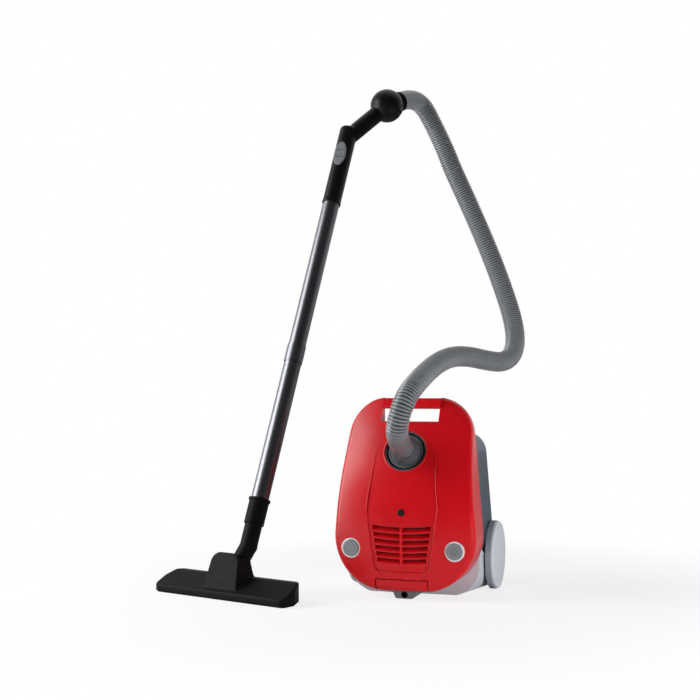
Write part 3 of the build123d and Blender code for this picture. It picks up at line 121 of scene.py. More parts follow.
class VacuumStage(PropertyGroup):
    """Camera and light."""
    lens: FloatProperty(name="Lens", description="Focal length on a 36 mm sensor",
                        default=66.86, unit="CAMERA")
    key_power: power("Key light", "Power of the left softbox", 64)
    fill_power: power("Fill light", "Power of the low right softbox", 14)
    top_power: power("Top light", "Power of the overhead softbox", 7)


def add_node(tree, kind, settings=None, inputs=None):
    """Adds a node with its settings, and gives each input a value or a link."""
    node = tree.nodes.new(kind)
    for name, value in (settings or {}).items():
        setattr(node, name, value)
    for name, value in (inputs or {}).items():
        if isinstance(value, bpy.types.NodeSocket):
            tree.links.new(value, node.inputs[name])
        else:
            node.inputs[name].default_value = value
    return node


def per_metre(millimetres):
    """Texture scale that gives features of a real size."""
    return 1000 / millimetres


def rgba(values, gain=1.0):
    """Colour with its alpha, made lighter or darker by a gain."""
    return tuple(min(1, value * gain) for value in values) + (1,)


def start_material(name):
    """Empty node material with its output, and object coordinates to build on."""
    material = bpy.data.materials.new(name)
    material.use_nodes = True
    tree = material.node_tree
    tree.nodes.clear()
    place = add_node(tree, "ShaderNodeTexCoord").outputs["Object"]
    return material, tree, place


def moulded_plastic(name, shade, roughness, grain_mm, grain_depth, coat=0.0, specular=0.5):
    """Injection-moulded plastic: even colour with faint flow marks, and the mould's grain as a bump."""
    material, tree, place = start_material(name)
    flow = add_node(tree, "ShaderNodeTexNoise", None, {
        "Vector": place, "Scale": per_metre(45), "Detail": 3.0})
    tone = add_node(tree, "ShaderNodeMix", {"data_type": "RGBA"}, {"Factor": flow.outputs["Fac"]})
    tone.inputs["A"].default_value = rgba(shade, 0.94)
    tone.inputs["B"].default_value = rgba(shade, 1.06)
    rubbed = add_node(tree, "ShaderNodeTexNoise", None, {
        "Vector": place, "Scale": per_metre(11), "Detail": 4.0})
    rough = add_node(tree, "ShaderNodeMapRange", None, {
        "Value": rubbed.outputs["Fac"], "To Min": roughness * 0.85, "To Max": roughness * 1.2})
    grain = add_node(tree, "ShaderNodeTexNoise", None, {
        "Vector": place, "Scale": per_metre(grain_mm), "Detail": 2.0})
    bump = add_node(tree, "ShaderNodeBump", None, {
        "Height": grain.outputs["Fac"], "Strength": 0.5, "Distance": grain_depth / 1000})
    shader = add_node(tree, "ShaderNodeBsdfPrincipled", None, {
        "Base Color": tone.outputs["Result"], "Roughness": rough.outputs["Result"],
        "Normal": bump.outputs["Normal"], "IOR": 1.53, "Specular IOR Level": specular,
        "Coat Weight": coat, "Coat Roughness": 0.22})
    add_node(tree, "ShaderNodeOutputMaterial", None, {"Surface": shader.outputs["BSDF"]})
    return material


def red_abs():
    """Glossy red ABS from a worn mould: soft reflections, and a faint orange peel about 6 mm across."""
    return moulded_plastic("red gloss ABS", colours().cover_red, 0.3, 6.0, 0.03, coat=0.25, specular=0.2)


def slate_polypropylene():
    """Satin polypropylene with a spark-eroded grain of about 1 mm."""
    return moulded_plastic("slate satin polypropylene", colours().housing_slate, 0.42, 1.1, 0.05,
                           specular=0.25)


def bumper_abs():
    """Satin light grey ABS, lightly grained."""
    return moulded_plastic("light grey satin ABS", colours().bumper_grey, 0.36, 1.4, 0.03)


def button_paint():
    """Silver-grey paint on ABS: a little metal flake, so it glints softly."""
    material = moulded_plastic("silver grey painted ABS", colours().button_grey, 0.3, 0.9, 0.02)
    material.node_tree.nodes["Principled BSDF"].inputs["Metallic"].default_value = 0.35
    return material


def silver_plate():
    """Plated ABS ring: bright metal with soft reflections."""
    material = moulded_plastic("silver plated ABS", linear("#E4E6E9"), 0.3, 2.0, 0.01)
    material.node_tree.nodes["Principled BSDF"].inputs["Metallic"].default_value = 0.4
    return material


def black_gloss_abs():
    """Black ABS from a polished mould, dulled by hands and floors."""
    return moulded_plastic("black gloss ABS", colours().moulding_black, 0.34, 3.0, 0.02, specular=0.12)


def black_satin_abs():
    """Black ABS with a fine grain of about 1 mm."""
    return moulded_plastic("black satin ABS", colours().moulding_black, 0.5, 1.0, 0.04, specular=0.05)


def slider_plastic():
    """Mid grey satin plastic."""
    return moulded_plastic("mid grey satin plastic", colours().fitting_grey, 0.45, 1.0, 0.04)


def swivel_plastic():
    """Dark grey satin plastic."""
    return moulded_plastic("dark grey satin plastic", linear("#45484C"), 0.45, 1.0, 0.04)


def lens_plastic():
    """Dark tinted polycarbonate: smooth, with a sharp glint."""
    return moulded_plastic("dark red polycarbonate", linear("#1C0506"), 0.1, 20.0, 0.005, specular=0.3)


def soft_rubber():
    """Black nitrile rubber: matt, with a faint bloom."""
    return moulded_plastic("black nitrile rubber", linear("#1B1C1E"), 0.7, 0.8, 0.04, specular=0.3)


def tread_rubber():
    """Grey thermoplastic rubber of the wheels' treads."""
    return moulded_plastic("grey tread rubber", linear("#8A8E97"), 0.55, 0.9, 0.05, specular=0.3)


def foam():
    """Open-cell polyurethane foam: pores of about 1.5 mm, with painted shade darkening them inside."""
    material, tree, place = start_material("open cell foam")
    pores = add_node(tree, "ShaderNodeTexVoronoi", None, {"Vector": place, "Scale": per_metre(1.5)})
    # Painted shade: darker colour in the pores' hollows, where the bump sinks them
    shade = add_node(tree, "ShaderNodeMix", {"data_type": "RGBA"}, {"Factor": pores.outputs["Distance"]})
    shade.inputs["A"].default_value = rgba(linear("#151012"))
    shade.inputs["B"].default_value = rgba(linear("#3A2A2C"))
    bump = add_node(tree, "ShaderNodeBump", None, {
        "Height": pores.outputs["Distance"], "Strength": 0.8, "Distance": 0.0006})
    shader = add_node(tree, "ShaderNodeBsdfPrincipled", None, {
        "Base Color": shade.outputs["Result"], "Roughness": 0.95, "Normal": bump.outputs["Normal"]})
    add_node(tree, "ShaderNodeOutputMaterial", None, {"Surface": shader.outputs["BSDF"]})
    return material


def filter_paper():
    """Two-ply filter paper: cloudy fibres of about 3 mm and soft creases."""
    material, tree, place = start_material("dust bag filter paper")
    fibres = add_node(tree, "ShaderNodeTexNoise", None, {
        "Vector": place, "Scale": per_metre(3), "Detail": 6.0})
    shade = add_node(tree, "ShaderNodeMix", {"data_type": "RGBA"}, {"Factor": fibres.outputs["Fac"]})
    shade.inputs["A"].default_value = rgba(colours().bag_paper, 0.82)
    shade.inputs["B"].default_value = rgba(colours().bag_paper, 1.12)
    creases = add_node(tree, "ShaderNodeTexVoronoi", {"feature": "DISTANCE_TO_EDGE"}, {
        "Vector": place, "Scale": per_metre(28)})
    bump = add_node(tree, "ShaderNodeBump", None, {
        "Height": creases.outputs["Distance"], "Strength": 0.35, "Distance": 0.001})
    shader = add_node(tree, "ShaderNodeBsdfPrincipled", None, {
        "Base Color": shade.outputs["Result"], "Roughness": 0.85, "Normal": bump.outputs["Normal"]})
    add_node(tree, "ShaderNodeOutputMaterial", None, {"Surface": shader.outputs["BSDF"]})
    return material


def hose_plastic():
    """Blown EVA hose: satin ribs, with painted shade darkening the valleys between them."""
    material, tree, place = start_material("grey EVA hose")
    rib = add_node(tree, "ShaderNodeAttribute", {"attribute_name": "rib"})
    cloud = add_node(tree, "ShaderNodeTexNoise", None, {
        "Vector": place, "Scale": per_metre(30), "Detail": 3.0})
    crest = add_node(tree, "ShaderNodeMix", {"data_type": "RGBA"}, {"Factor": cloud.outputs["Fac"]})
    crest.inputs["A"].default_value = rgba(colours().hose_grey, 0.92)
    crest.inputs["B"].default_value = rgba(colours().hose_grey, 1.08)
    # Painted shade: the rib attribute mixes the valley colour into the valleys between ribs
    shade = add_node(tree, "ShaderNodeMix", {"data_type": "RGBA"}, {
        "Factor": rib.outputs["Fac"], "B": crest.outputs["Result"]})
    shade.inputs["A"].default_value = rgba(colours().hose_valley_shade)
    grain = add_node(tree, "ShaderNodeTexNoise", None, {"Vector": place, "Scale": per_metre(0.8)})
    bump = add_node(tree, "ShaderNodeBump", None, {
        "Height": grain.outputs["Fac"], "Strength": 0.3, "Distance": 0.00004})
    shader = add_node(tree, "ShaderNodeBsdfPrincipled", None, {
        "Base Color": shade.outputs["Result"], "Roughness": 0.3, "Normal": bump.outputs["Normal"],
        "IOR": 1.49})
    add_node(tree, "ShaderNodeOutputMaterial", None, {"Surface": shader.outputs["BSDF"]})
    return material


def chromed_steel():
    """Chromed drawn steel tube: a mirror with hairlines along the tube, drawn 1 mm wide to show."""
    material, tree, place = start_material("chromed steel")
    along = add_node(tree, "ShaderNodeMapping", {"vector_type": "TEXTURE"}, {
        "Vector": place, "Rotation": wand_turn, "Scale": (1, 1, 90)})
    lines = add_node(tree, "ShaderNodeTexNoise", None, {
        "Vector": along.outputs["Vector"], "Scale": per_metre(1.0), "Detail": 3.0})
    rough = add_node(tree, "ShaderNodeMapRange", None, {
        "Value": lines.outputs["Fac"], "To Min": 0.3, "To Max": 0.42})
    bump = add_node(tree, "ShaderNodeBump", None, {
        "Height": lines.outputs["Fac"], "Strength": 0.15, "Distance": 0.00003})
    shader = add_node(tree, "ShaderNodeBsdfPrincipled", None, {
        "Base Color": rgba(colours().tube_metal), "Metallic": 1.0, "Roughness": rough.outputs["Result"],
        "Normal": bump.outputs["Normal"]})
    add_node(tree, "ShaderNodeOutputMaterial", None, {"Surface": shader.outputs["BSDF"]})
    return material


def zinc_steel():
    """Zinc-plated steel of screws and pins: bright grey with crystal-like patches of about 2 mm."""
    material, tree, place = start_material("zinc plated steel")
    spangle = add_node(tree, "ShaderNodeTexVoronoi", None, {"Vector": place, "Scale": per_metre(2)})
    rough = add_node(tree, "ShaderNodeMapRange", None, {
        "Value": spangle.outputs["Distance"], "To Min": 0.25, "To Max": 0.42})
    shader = add_node(tree, "ShaderNodeBsdfPrincipled", None, {
        "Base Color": rgba(linear("#B8BABD")), "Metallic": 1.0, "Roughness": rough.outputs["Result"]})
    add_node(tree, "ShaderNodeOutputMaterial", None, {"Surface": shader.outputs["BSDF"]})
    return material


def copper_winding():
    """Enamelled copper winding: turns of 1 mm wire seen as fine bands."""
    material, tree, place = start_material("enamelled copper winding")
    turns = add_node(tree, "ShaderNodeTexWave", {"bands_direction": "Z"}, {
        "Vector": place, "Scale": per_metre(1.0) / 20, "Distortion": 1.0})
    bump = add_node(tree, "ShaderNodeBump", None, {
        "Height": turns.outputs["Fac"], "Strength": 0.6, "Distance": 0.0005})
    shader = add_node(tree, "ShaderNodeBsdfPrincipled", None, {
        "Base Color": rgba(linear("#9A5A2C")), "Metallic": 0.8, "Roughness": 0.35,
        "Normal": bump.outputs["Normal"]})
    add_node(tree, "ShaderNodeOutputMaterial", None, {"Surface": shader.outputs["BSDF"]})
    return material


finish_makers = {
    "red": red_abs, "slate": slate_polypropylene, "grey": bumper_abs, "button": button_paint,
    "plate": silver_plate, "black gloss": black_gloss_abs, "black satin": black_satin_abs,
    "mid grey": slider_plastic, "dark grey": swivel_plastic, "lens": lens_plastic,
    "rubber": soft_rubber, "tread": tread_rubber, "foam": foam, "paper": filter_paper,
    "hose": hose_plastic, "chrome": chromed_steel, "zinc": zinc_steel, "copper": copper_winding,
}
finishes_made = {}


def colours():
    """The scene's colour properties."""
    return bpy.context.scene.vacuum_colours


def finish(name):
    """Material of a finish, made the first time that it is asked for."""
    if name not in finishes_made:
        finishes_made[name] = finish_makers[name]()
    return finishes_made[name]


# Finish of each CAD node that is shown
node_finishes = {
    "red": ["top_cover", "carry_handle", "exhaust_grille", "latch_tab"],
    "slate": ["lower_housing", "left_wheel_rim", "right_wheel_rim"],
    "grey": ["rear_bumper", "left_wheel_cap", "right_wheel_cap"],
    "button": ["power_button", "rewind_button"],
    "plate": ["button_bezels", "fan_impeller"],
    "black satin": ["cord_outlet", "power_switch", "motor_housing", "handle_cuff",
                    "wand_collar", "neck_elbow", "sole_plate", "head_shell"],
    "black gloss": ["hose_handle"],
    "mid grey": ["cord_guide", "suction_slider", "bag_holder", "reel_axle", "cord_reel", "caster_fork",
                 "caster_wheel"],
    "dark grey": ["hose_swivel", "inlet_socket"],
    "lens": ["bag_lens"],
    "rubber": ["inlet_seal", "lid_gasket", "motor_mount"],
    "tread": ["left_wheel_tyre", "right_wheel_tyre"],
    "paper": ["bag_collar"],
    "chrome": ["upper_tube", "lower_tube"],
    "zinc": ["latch_pin", "wheel_axles", "hinge_pin", "motor_bearings", "motor_armature", "caster_axle",
             "pivot_pin"],
    "copper": ["motor_stator"],
}

# Places that repeat the part's own values, in metres
wand_lean = Vector((tan(radians(7.0)), tan(radians(20.02)), 1)).normalized()
wand_foot = Vector((-0.258, -0.1228, 0.1643))
wand_turn = wand_lean.to_track_quat("Z", "Y").to_euler()
handle_ball = wand_foot + wand_lean * 0.730 + Vector((0.0643, 0.0576, 0.0715))
hose_exit = Vector((0.45, 0.82, 0.36)).normalized()
hose_end = handle_ball + hose_exit * 0.039
inlet_rim = Vector((0, -0.091, 0.254))
inlet_axis = Vector((0, -cos(radians(22)), sin(radians(22))))
inlet_radius = 0.037
panel_edge = [
    (-0.0524, 0.258), (-0.063, 0.156), (-0.049, 0.048), (0.049, 0.048), (0.063, 0.156), (0.0524, 0.258),
]
panel_corner = 0.014
head_pivot = Vector((-0.291, -0.163, 0.040))
head_turn = Matrix.Translation(head_pivot) @ Matrix.Rotation(radians(-19.5), 4, "Z")
brush_rows = (0.005, -0.0383)
brush_half_length = 0.122
brush_half_depth = 0.002
sole_screw_reach = 0.080
sole_screw_row = -0.007
housing_screw_radius = 0.0042
sole_screw_radius = 0.0032
sole_screw_head = 0.0016
hose_route = [
    tuple(inlet_rim + inlet_axis * 0.015), tuple(inlet_rim + inlet_axis * 0.063),
    (0.008, -0.170, 0.310), (0.020, -0.160, 0.350), (0.027, -0.118, 0.372),
    (0.029, -0.062, 0.389), (0.037, -0.010, 0.407), (0.051, 0.045, 0.420), (0.071, 0.098, 0.421),
    (0.094, 0.147, 0.414), (0.116, 0.193, 0.410), (0.129, 0.231, 0.423), (0.131, 0.260, 0.453),
    (0.123, 0.278, 0.492), (0.109, 0.288, 0.535), (0.082, 0.296, 0.608), (0.052, 0.299, 0.680),
    (0.019, 0.298, 0.755), (-0.006, 0.301, 0.808), (-0.019, 0.302, 0.843), (-0.043, 0.290, 0.898),
    (-0.060, 0.268, 0.935), tuple(hose_end + hose_exit * 0.030), tuple(hose_end),
]

# Fineness and small sizes of the pieces, in metres where they are lengths
points_per_rib = 7.0
hose_sides = 32
inlet_cuff_fade = 0.030
handle_cuff_fade = 0.025
inlet_cuff_tone = 0.42
bead_sides = 12
bead_step = 0.0015
panel_bead_fade = 0.03
inlet_bead_steps = 72
above_cover = 0.05
before_cover = -0.3
bag_voxel = 0.004
foam_voxel = 0.0016
foam_cell_depth = 0.0007
handle_slack = 0.0005
bristle_line_gap = 0.0011
bristle_end_gap = 0.001
rail_height = 0.002
rail_bevel = 0.0004

# Camera and room
camera_place = (0.5835, -2.2735, 0.377)
camera_tilt = radians(91.32)
camera_azimuth = radians(17.4)
lit_middle = (-0.1, 0, 0.35)
floor_reach = 12
room_front = 0.07
room_diffuse = 0.075


def new_object(name, mesh):
    """Object at the origin for a mesh, linked to the scene."""
    obj = bpy.data.objects.new(name, mesh)
    bpy.context.scene.collection.objects.link(obj)
    return obj


def mesh_from(name, points, faces=(), edges=()):
    """Object made of points and faces or edges, its faces turned outwards."""
    mesh = bpy.data.meshes.new(name)
    mesh.from_pydata([tuple(point) for point in points], list(edges), list(faces))
    if faces:
        skin = bmesh.new()
        skin.from_mesh(mesh)
        bmesh.ops.remove_doubles(skin, verts=skin.verts, dist=1e-7)
        bmesh.ops.recalc_face_normals(skin, faces=skin.faces)
        skin.to_mesh(mesh)
        skin.free()
    return new_object(name, mesh)


def settle(obj):
    """Keeps the result of an object's modifiers as its plain mesh."""
    graph = bpy.context.evaluated_depsgraph_get()
    mesh = bpy.data.meshes.new_from_object(obj.evaluated_get(graph), depsgraph=graph)
    obj.modifiers.clear()
    obj.data = mesh
    mesh.name = obj.name
    return obj


def smooth_shaded(obj, degrees=35):
    """Smooth shading with sharp edges kept above an angle."""
    obj.data.shade_smooth()
    obj.data.set_sharp_from_angle(angle=radians(degrees))
    return obj


def coated(obj, finish_name):
    """Gives a piece one finish."""
    obj.data.materials.clear()
    obj.data.materials.append(finish(finish_name))
    return obj


def merged_copy(node, name):
    """Object with a CAD node's surface, its loose triangles merged into one skin."""
    skin = bmesh.new()
    skin.from_mesh(nodes[node].data)
    bmesh.ops.remove_doubles(skin, verts=skin.verts, dist=1e-5)
    mesh = bpy.data.meshes.new(name)
    skin.to_mesh(mesh)
    skin.free()
    return new_object(name, mesh)


def eased_copy(node, name, passes, voxel=None, slack=0.0):
    """Object with a CAD node's form, its edges and corners eased as a mould's are, slimmer by a slack."""
    obj = merged_copy(node, name)
    skin = obj.modifiers.new("Skin", "REMESH")
    skin.mode = "VOXEL"
    skin.voxel_size = voxel or bpy.context.scene.vacuum_sizes.form_voxel
    skin.use_smooth_shade = True
    ease = obj.modifiers.new("Ease", "SMOOTH")
    ease.factor = 0.5
    ease.iterations = passes
    slim = obj.modifiers.new("Slim", "DISPLACE")
    slim.mid_level = 0
    slim.strength = -slack
    return settle(obj)


def new_tree(name, sizes, counts=()):
    """Geometry Nodes tree with a geometry input, named sizes and counts, and a geometry output."""
    tree = bpy.data.node_groups.new(name, "GeometryNodeTree")
    tree.interface.new_socket("Geometry", in_out="INPUT", socket_type="NodeSocketGeometry")
    for label in sizes:
        tree.interface.new_socket(label, in_out="INPUT", socket_type="NodeSocketFloat")
    for label in counts:
        tree.interface.new_socket(label, in_out="INPUT", socket_type="NodeSocketInt")
    tree.interface.new_socket("Geometry", in_out="OUTPUT", socket_type="NodeSocketGeometry")
    return tree, add_node(tree, "NodeGroupInput").outputs


def close_tree(tree, geometry, material):
    """Ends a tree: real geometry, one material, output."""
    real = add_node(tree, "GeometryNodeRealizeInstances", None, {"Geometry": geometry})
    painted = add_node(tree, "GeometryNodeSetMaterial", None, {
        "Geometry": real.outputs["Geometry"], "Material": material})
    add_node(tree, "NodeGroupOutput", None, {"Geometry": painted.outputs["Geometry"]})


def close_tube(tree, line, radius, sides, material):
    """Ends a tree with a round tube along a line, its radius given at each point."""
    ring = add_node(tree, "GeometryNodeCurvePrimitiveCircle", None, {"Resolution": sides, "Radius": 1.0})
    tube = add_node(tree, "GeometryNodeCurveToMesh", None, {
        "Curve": line, "Profile Curve": ring.outputs["Curve"], "Scale": radius, "Fill Caps": True})
    smooth = add_node(tree, "GeometryNodeSetShadeSmooth", None, {"Geometry": tube.outputs["Mesh"]})
    close_tree(tree, smooth.outputs["Geometry"], material)


def close_sunk(tree, given, share, material):
    """Ends a tree with its surface sunk along its normals, by a share of the given depth."""
    inward = add_node(tree, "ShaderNodeMath", {"operation": "MULTIPLY"}, {0: share, 1: given["Depth"]})
    shift = add_node(tree, "ShaderNodeMath", {"operation": "MULTIPLY"}, {
        0: inward.outputs["Value"], 1: -1.0})
    facing = add_node(tree, "GeometryNodeInputNormal").outputs["Normal"]
    offset = add_node(tree, "ShaderNodeVectorMath", {"operation": "SCALE"}, {
        0: facing, "Scale": shift.outputs["Value"]})
    moved = add_node(tree, "GeometryNodeSetPosition", None, {
        "Geometry": given["Geometry"], "Offset": offset.outputs["Vector"]})
    close_tree(tree, moved.outputs["Geometry"], material)


def grow(obj, tree, values):
    """Runs a tree on an object with its inputs set, and keeps the result as a plain mesh."""
    modifier = obj.modifiers.new(tree.name, "NODES")
    modifier.node_group = tree
    for item in tree.interface.items_tree:
        if item.in_out == "INPUT" and item.name in values:
            modifier[item.identifier] = values[item.name]
    settle(obj)
    bpy.data.node_groups.remove(tree)
    return obj


def add_softbox(name, place, target, size, power, mirrored=True):
    """Area lamp aimed at a point, and left out of reflections if asked."""
    lamp = bpy.data.lights.new(name, "AREA")
    lamp.shape = "RECTANGLE"
    lamp.size, lamp.size_y = size
    lamp.energy = power
    obj = bpy.data.objects.new(name, lamp)
    obj.location = place
    obj.visible_glossy = mirrored
    obj.rotation_euler = (Vector(target) - Vector(place)).to_track_quat("-Z", "Y").to_euler()
    bpy.context.scene.collection.objects.link(obj)


class VACUUM_OT_stage(Operator):
    """Camera at the photograph's angle, pale floor and soft studio light"""
    bl_idname = "vacuum.stage"
    bl_label = "Stage"

    def execute(self, context):
        values = context.scene.vacuum_stage
        lens = bpy.data.cameras.new("camera")
        lens.lens = values.lens
        lens.sensor_width = 36
        camera = bpy.data.objects.new("camera", lens)
        camera.location = camera_place
        camera.rotation_euler = (camera_tilt, 0, camera_azimuth)
        context.scene.collection.objects.link(camera)
        context.scene.camera = camera
        context.scene.view_settings.view_transform = "Standard"
        add_softbox("key softbox", (-1.8, -0.75, 0.9), lit_middle, (1.2, 2.0), values.key_power)
        add_softbox("fill softbox", (1.0, -0.5, 0.05), (0.1, -0.1, 0.1), (0.6, 0.3), values.fill_power,
                    mirrored=False)
        add_softbox("top softbox", (0.1, 0.4, 2.4), lit_middle, (1.8, 1.4), values.top_power)
        self.make_floor()
        self.make_world(context)
        return {"FINISHED"}

    def make_floor(self):
        """Large pale floor that stays white to the camera and keeps a soft shadow."""
        corners = [(x * floor_reach, y * floor_reach, 0) for x, y in ((-1, -1), (1, -1), (1, 1), (-1, 1))]
        floor = mesh_from("floor", corners, [(0, 1, 2, 3)])
        material, tree, place = start_material("pale studio floor")
        cloud = add_node(tree, "ShaderNodeTexNoise", None, {"Vector": place, "Scale": per_metre(900)})
        rough = add_node(tree, "ShaderNodeMapRange", None, {
            "Value": cloud.outputs["Fac"], "To Min": 0.7, "To Max": 0.8})
        painted = add_node(tree, "ShaderNodeBsdfPrincipled", None, {
            "Base Color": rgba(linear("#F2F2F2")), "Roughness": rough.outputs["Result"]})
        glow = add_node(tree, "ShaderNodeEmission", None, {"Color": (1, 1, 1, 1), "Strength": 1.0})
        sight = add_node(tree, "ShaderNodeLightPath")
        away = add_node(tree, "ShaderNodeVectorMath", {"operation": "LENGTH"}, {0: place})
        fade = add_node(tree, "ShaderNodeMapRange", {"interpolation_type": "SMOOTHSTEP"}, {
            "Value": away.outputs["Value"], "From Min": 0.35, "From Max": 0.9,
            "To Min": 0.8, "To Max": 1.0})
        share = add_node(tree, "ShaderNodeMath", {"operation": "MULTIPLY"}, {
            0: sight.outputs["Is Camera Ray"], 1: fade.outputs["Result"]})
        mixed = add_node(tree, "ShaderNodeMixShader", None, {
            "Fac": share.outputs["Value"], 1: painted.outputs["BSDF"], 2: glow.outputs["Emission"]})
        add_node(tree, "ShaderNodeOutputMaterial", None, {"Surface": mixed.outputs["Shader"]})
        floor.data.materials.append(material)

    def make_world(self, context):
        """White to the camera and behind the object, a darker room in front, and a plain grey light."""
        world = bpy.data.worlds.new("studio")
        context.scene.world = world
        world.use_nodes = True
        tree = world.node_tree
        tree.nodes.clear()
        sight = add_node(tree, "ShaderNodeLightPath")
        direct = add_node(tree, "ShaderNodeMath", {"operation": "MAXIMUM"}, {
            0: sight.outputs["Is Camera Ray"], 1: sight.outputs["Is Transmission Ray"]})
        heading = add_node(tree, "ShaderNodeTexCoord").outputs["Generated"]
        backward = add_node(tree, "ShaderNodeVectorMath", {"operation": "DOT_PRODUCT"}, {0: heading})
        backward.inputs[1].default_value = (-sin(camera_azimuth), cos(camera_azimuth), 0)
        room = add_node(tree, "ShaderNodeMapRange", {"interpolation_type": "SMOOTHSTEP"}, {
            "Value": backward.outputs["Value"], "From Min": -0.5, "From Max": 0.5,
            "To Min": room_front, "To Max": 1.0})
        mirrored = add_node(tree, "ShaderNodeMath", {"operation": "MULTIPLY"}, {
            0: sight.outputs["Is Glossy Ray"], 1: room.outputs["Result"]})
        seen = add_node(tree, "ShaderNodeMath", {"operation": "MAXIMUM"}, {
            0: direct.outputs["Value"], 1: mirrored.outputs["Value"]})
        strength = add_node(tree, "ShaderNodeMath", {"operation": "MULTIPLY_ADD"}, {
            0: sight.outputs["Is Diffuse Ray"], 1: room_diffuse, 2: seen.outputs["Value"]})
        sky = add_node(tree, "ShaderNodeBackground", None, {
            "Color": (1, 1, 1, 1), "Strength": strength.outputs["Value"]})
        add_node(tree, "ShaderNodeOutputWorld", None, {"Surface": sky.outputs["Background"]})


class VACUUM_OT_hose(Operator):
    """Ribbed suction hose on one smooth line from the inlet to the handle"""
    bl_idname = "vacuum.hose"
    bl_label = "Suction hose"

    def execute(self, context):
        sizes = context.scene.vacuum_sizes
        points = self.route_points()
        spans = [(b - a).length for a, b in zip(points, points[1:])]
        edges = [(index, index + 1) for index in range(len(points) - 1)]
        hose = mesh_from("ribbed_hose", points, edges=edges)
        grow(hose, self.tree(), {
            "Radius": sizes.hose_radius, "Rib depth": sizes.hose_rib_depth,
            "Rib pitch": sizes.hose_rib_pitch, "Inlet cuff": sizes.hose_inlet_cuff,
            "Handle cuff": sizes.hose_handle_cuff, "Whole length": sum(spans)})
        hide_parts("suction_hose")
        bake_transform(hose)
        return {"FINISHED"}

    def route_points(self):
        """Points along the hose's NURBS line."""
        line = bpy.data.curves.new("hose_line", "CURVE")
        line.dimensions = "3D"
        spline = line.splines.new("NURBS")
        spline.points.add(len(hose_route) - 1)
        for point, place in zip(spline.points, hose_route):
            point.co = (*place, 1)
        spline.order_u = 3
        spline.use_endpoint_u = True
        spline.resolution_u = 12
        obj = new_object("hose_line", line)
        graph = bpy.context.evaluated_depsgraph_get()
        mesh = bpy.data.meshes.new_from_object(obj.evaluated_get(graph), depsgraph=graph)
        points = [vertex.co.copy() for vertex in mesh.vertices]
        bpy.data.objects.remove(obj)
        bpy.data.curves.remove(line)
        bpy.data.meshes.remove(mesh)
        return points

    def rib_share(self, tree, distance, cuff, fade):
        """How far the ribs have risen at a distance from the hose's end: none on the cuff."""
        risen = add_node(tree, "ShaderNodeMath", {"operation": "ADD"}, {0: cuff, 1: fade})
        return add_node(tree, "ShaderNodeMapRange", {"interpolation_type": "SMOOTHSTEP"}, {
            "Value": distance, "From Min": cuff, "From Max": risen.outputs["Value"]}).outputs["Result"]

    def tree(self):
        """Tube along the line, its radius waved into ribs and left smooth at both cuffs."""
        tree, given = new_tree("hose_ribs", [
            "Radius", "Rib depth", "Rib pitch", "Inlet cuff", "Handle cuff", "Whole length"])
        curve = add_node(tree, "GeometryNodeMeshToCurve", None, {"Mesh": given["Geometry"]})
        step = add_node(tree, "ShaderNodeMath", {"operation": "DIVIDE"}, {
            0: given["Rib pitch"], 1: points_per_rib})
        fine = add_node(tree, "GeometryNodeResampleCurve", {"mode": "LENGTH"}, {
            "Curve": curve.outputs["Curve"], "Length": step.outputs["Value"]})
        run = add_node(tree, "GeometryNodeSplineParameter").outputs["Length"]
        turns = add_node(tree, "ShaderNodeMath", {"operation": "DIVIDE"}, {0: run, 1: given["Rib pitch"]})
        angle = add_node(tree, "ShaderNodeMath", {"operation": "MULTIPLY"}, {
            0: turns.outputs["Value"], 1: 2 * pi})
        wave = add_node(tree, "ShaderNodeMath", {"operation": "COSINE"}, {0: angle.outputs["Value"]})
        pulse = add_node(tree, "ShaderNodeMapRange", {"interpolation_type": "SMOOTHSTEP"}, {
            "Value": wave.outputs["Value"], "From Min": -0.8, "From Max": 0.5}).outputs["Result"]
        left = add_node(tree, "ShaderNodeMath", {"operation": "SUBTRACT"}, {
            0: given["Whole length"], 1: run})
        after_inlet = self.rib_share(tree, run, given["Inlet cuff"], inlet_cuff_fade)
        before_handle = self.rib_share(tree, left.outputs["Value"], given["Handle cuff"],
                                       handle_cuff_fade)
        ribbed = add_node(tree, "ShaderNodeMath", {"operation": "MULTIPLY"}, {
            0: after_inlet, 1: before_handle}).outputs["Value"]
        low = add_node(tree, "ShaderNodeMath", {"operation": "SUBTRACT"}, {0: 1.0, 1: pulse})
        dip = add_node(tree, "ShaderNodeMath", {"operation": "MULTIPLY"}, {
            0: low.outputs["Value"], 1: ribbed})
        drop = add_node(tree, "ShaderNodeMath", {"operation": "MULTIPLY"}, {
            0: dip.outputs["Value"], 1: given["Rib depth"]})
        radius = add_node(tree, "ShaderNodeMath", {"operation": "SUBTRACT"}, {
            0: given["Radius"], 1: drop.outputs["Value"]})
        # The rib attribute carries painted shade: low in the valleys between ribs; the inlet cuff is also
        # drawn darker
        crest = add_node(tree, "ShaderNodeMath", {"operation": "SUBTRACT"}, {
            0: 1.0, 1: dip.outputs["Value"]})
        cuff_tone = add_node(tree, "ShaderNodeMapRange", None, {
            "Value": after_inlet, "To Min": inlet_cuff_tone, "To Max": 1.0})
        tone = add_node(tree, "ShaderNodeMath", {"operation": "MULTIPLY"}, {
            0: crest.outputs["Value"], 1: cuff_tone.outputs["Result"]})
        marked = add_node(tree, "GeometryNodeStoreNamedAttribute", {
            "data_type": "FLOAT", "domain": "POINT"}, {
            "Geometry": fine.outputs["Curve"], "Name": "rib", "Value": tone.outputs["Value"]})
        close_tube(tree, marked.outputs["Geometry"], radius.outputs["Value"], hose_sides, finish("hose"))
        return tree


class VACUUM_OT_finishes(Operator):
    """Gives every CAD node that is shown its finish"""
    bl_idname = "vacuum.finishes"
    bl_label = "Finishes"

    def execute(self, context):
        for finish_name, names in node_finishes.items():
            for name in names:
                coated(nodes[name], finish_name)
        return {"FINISHED"}


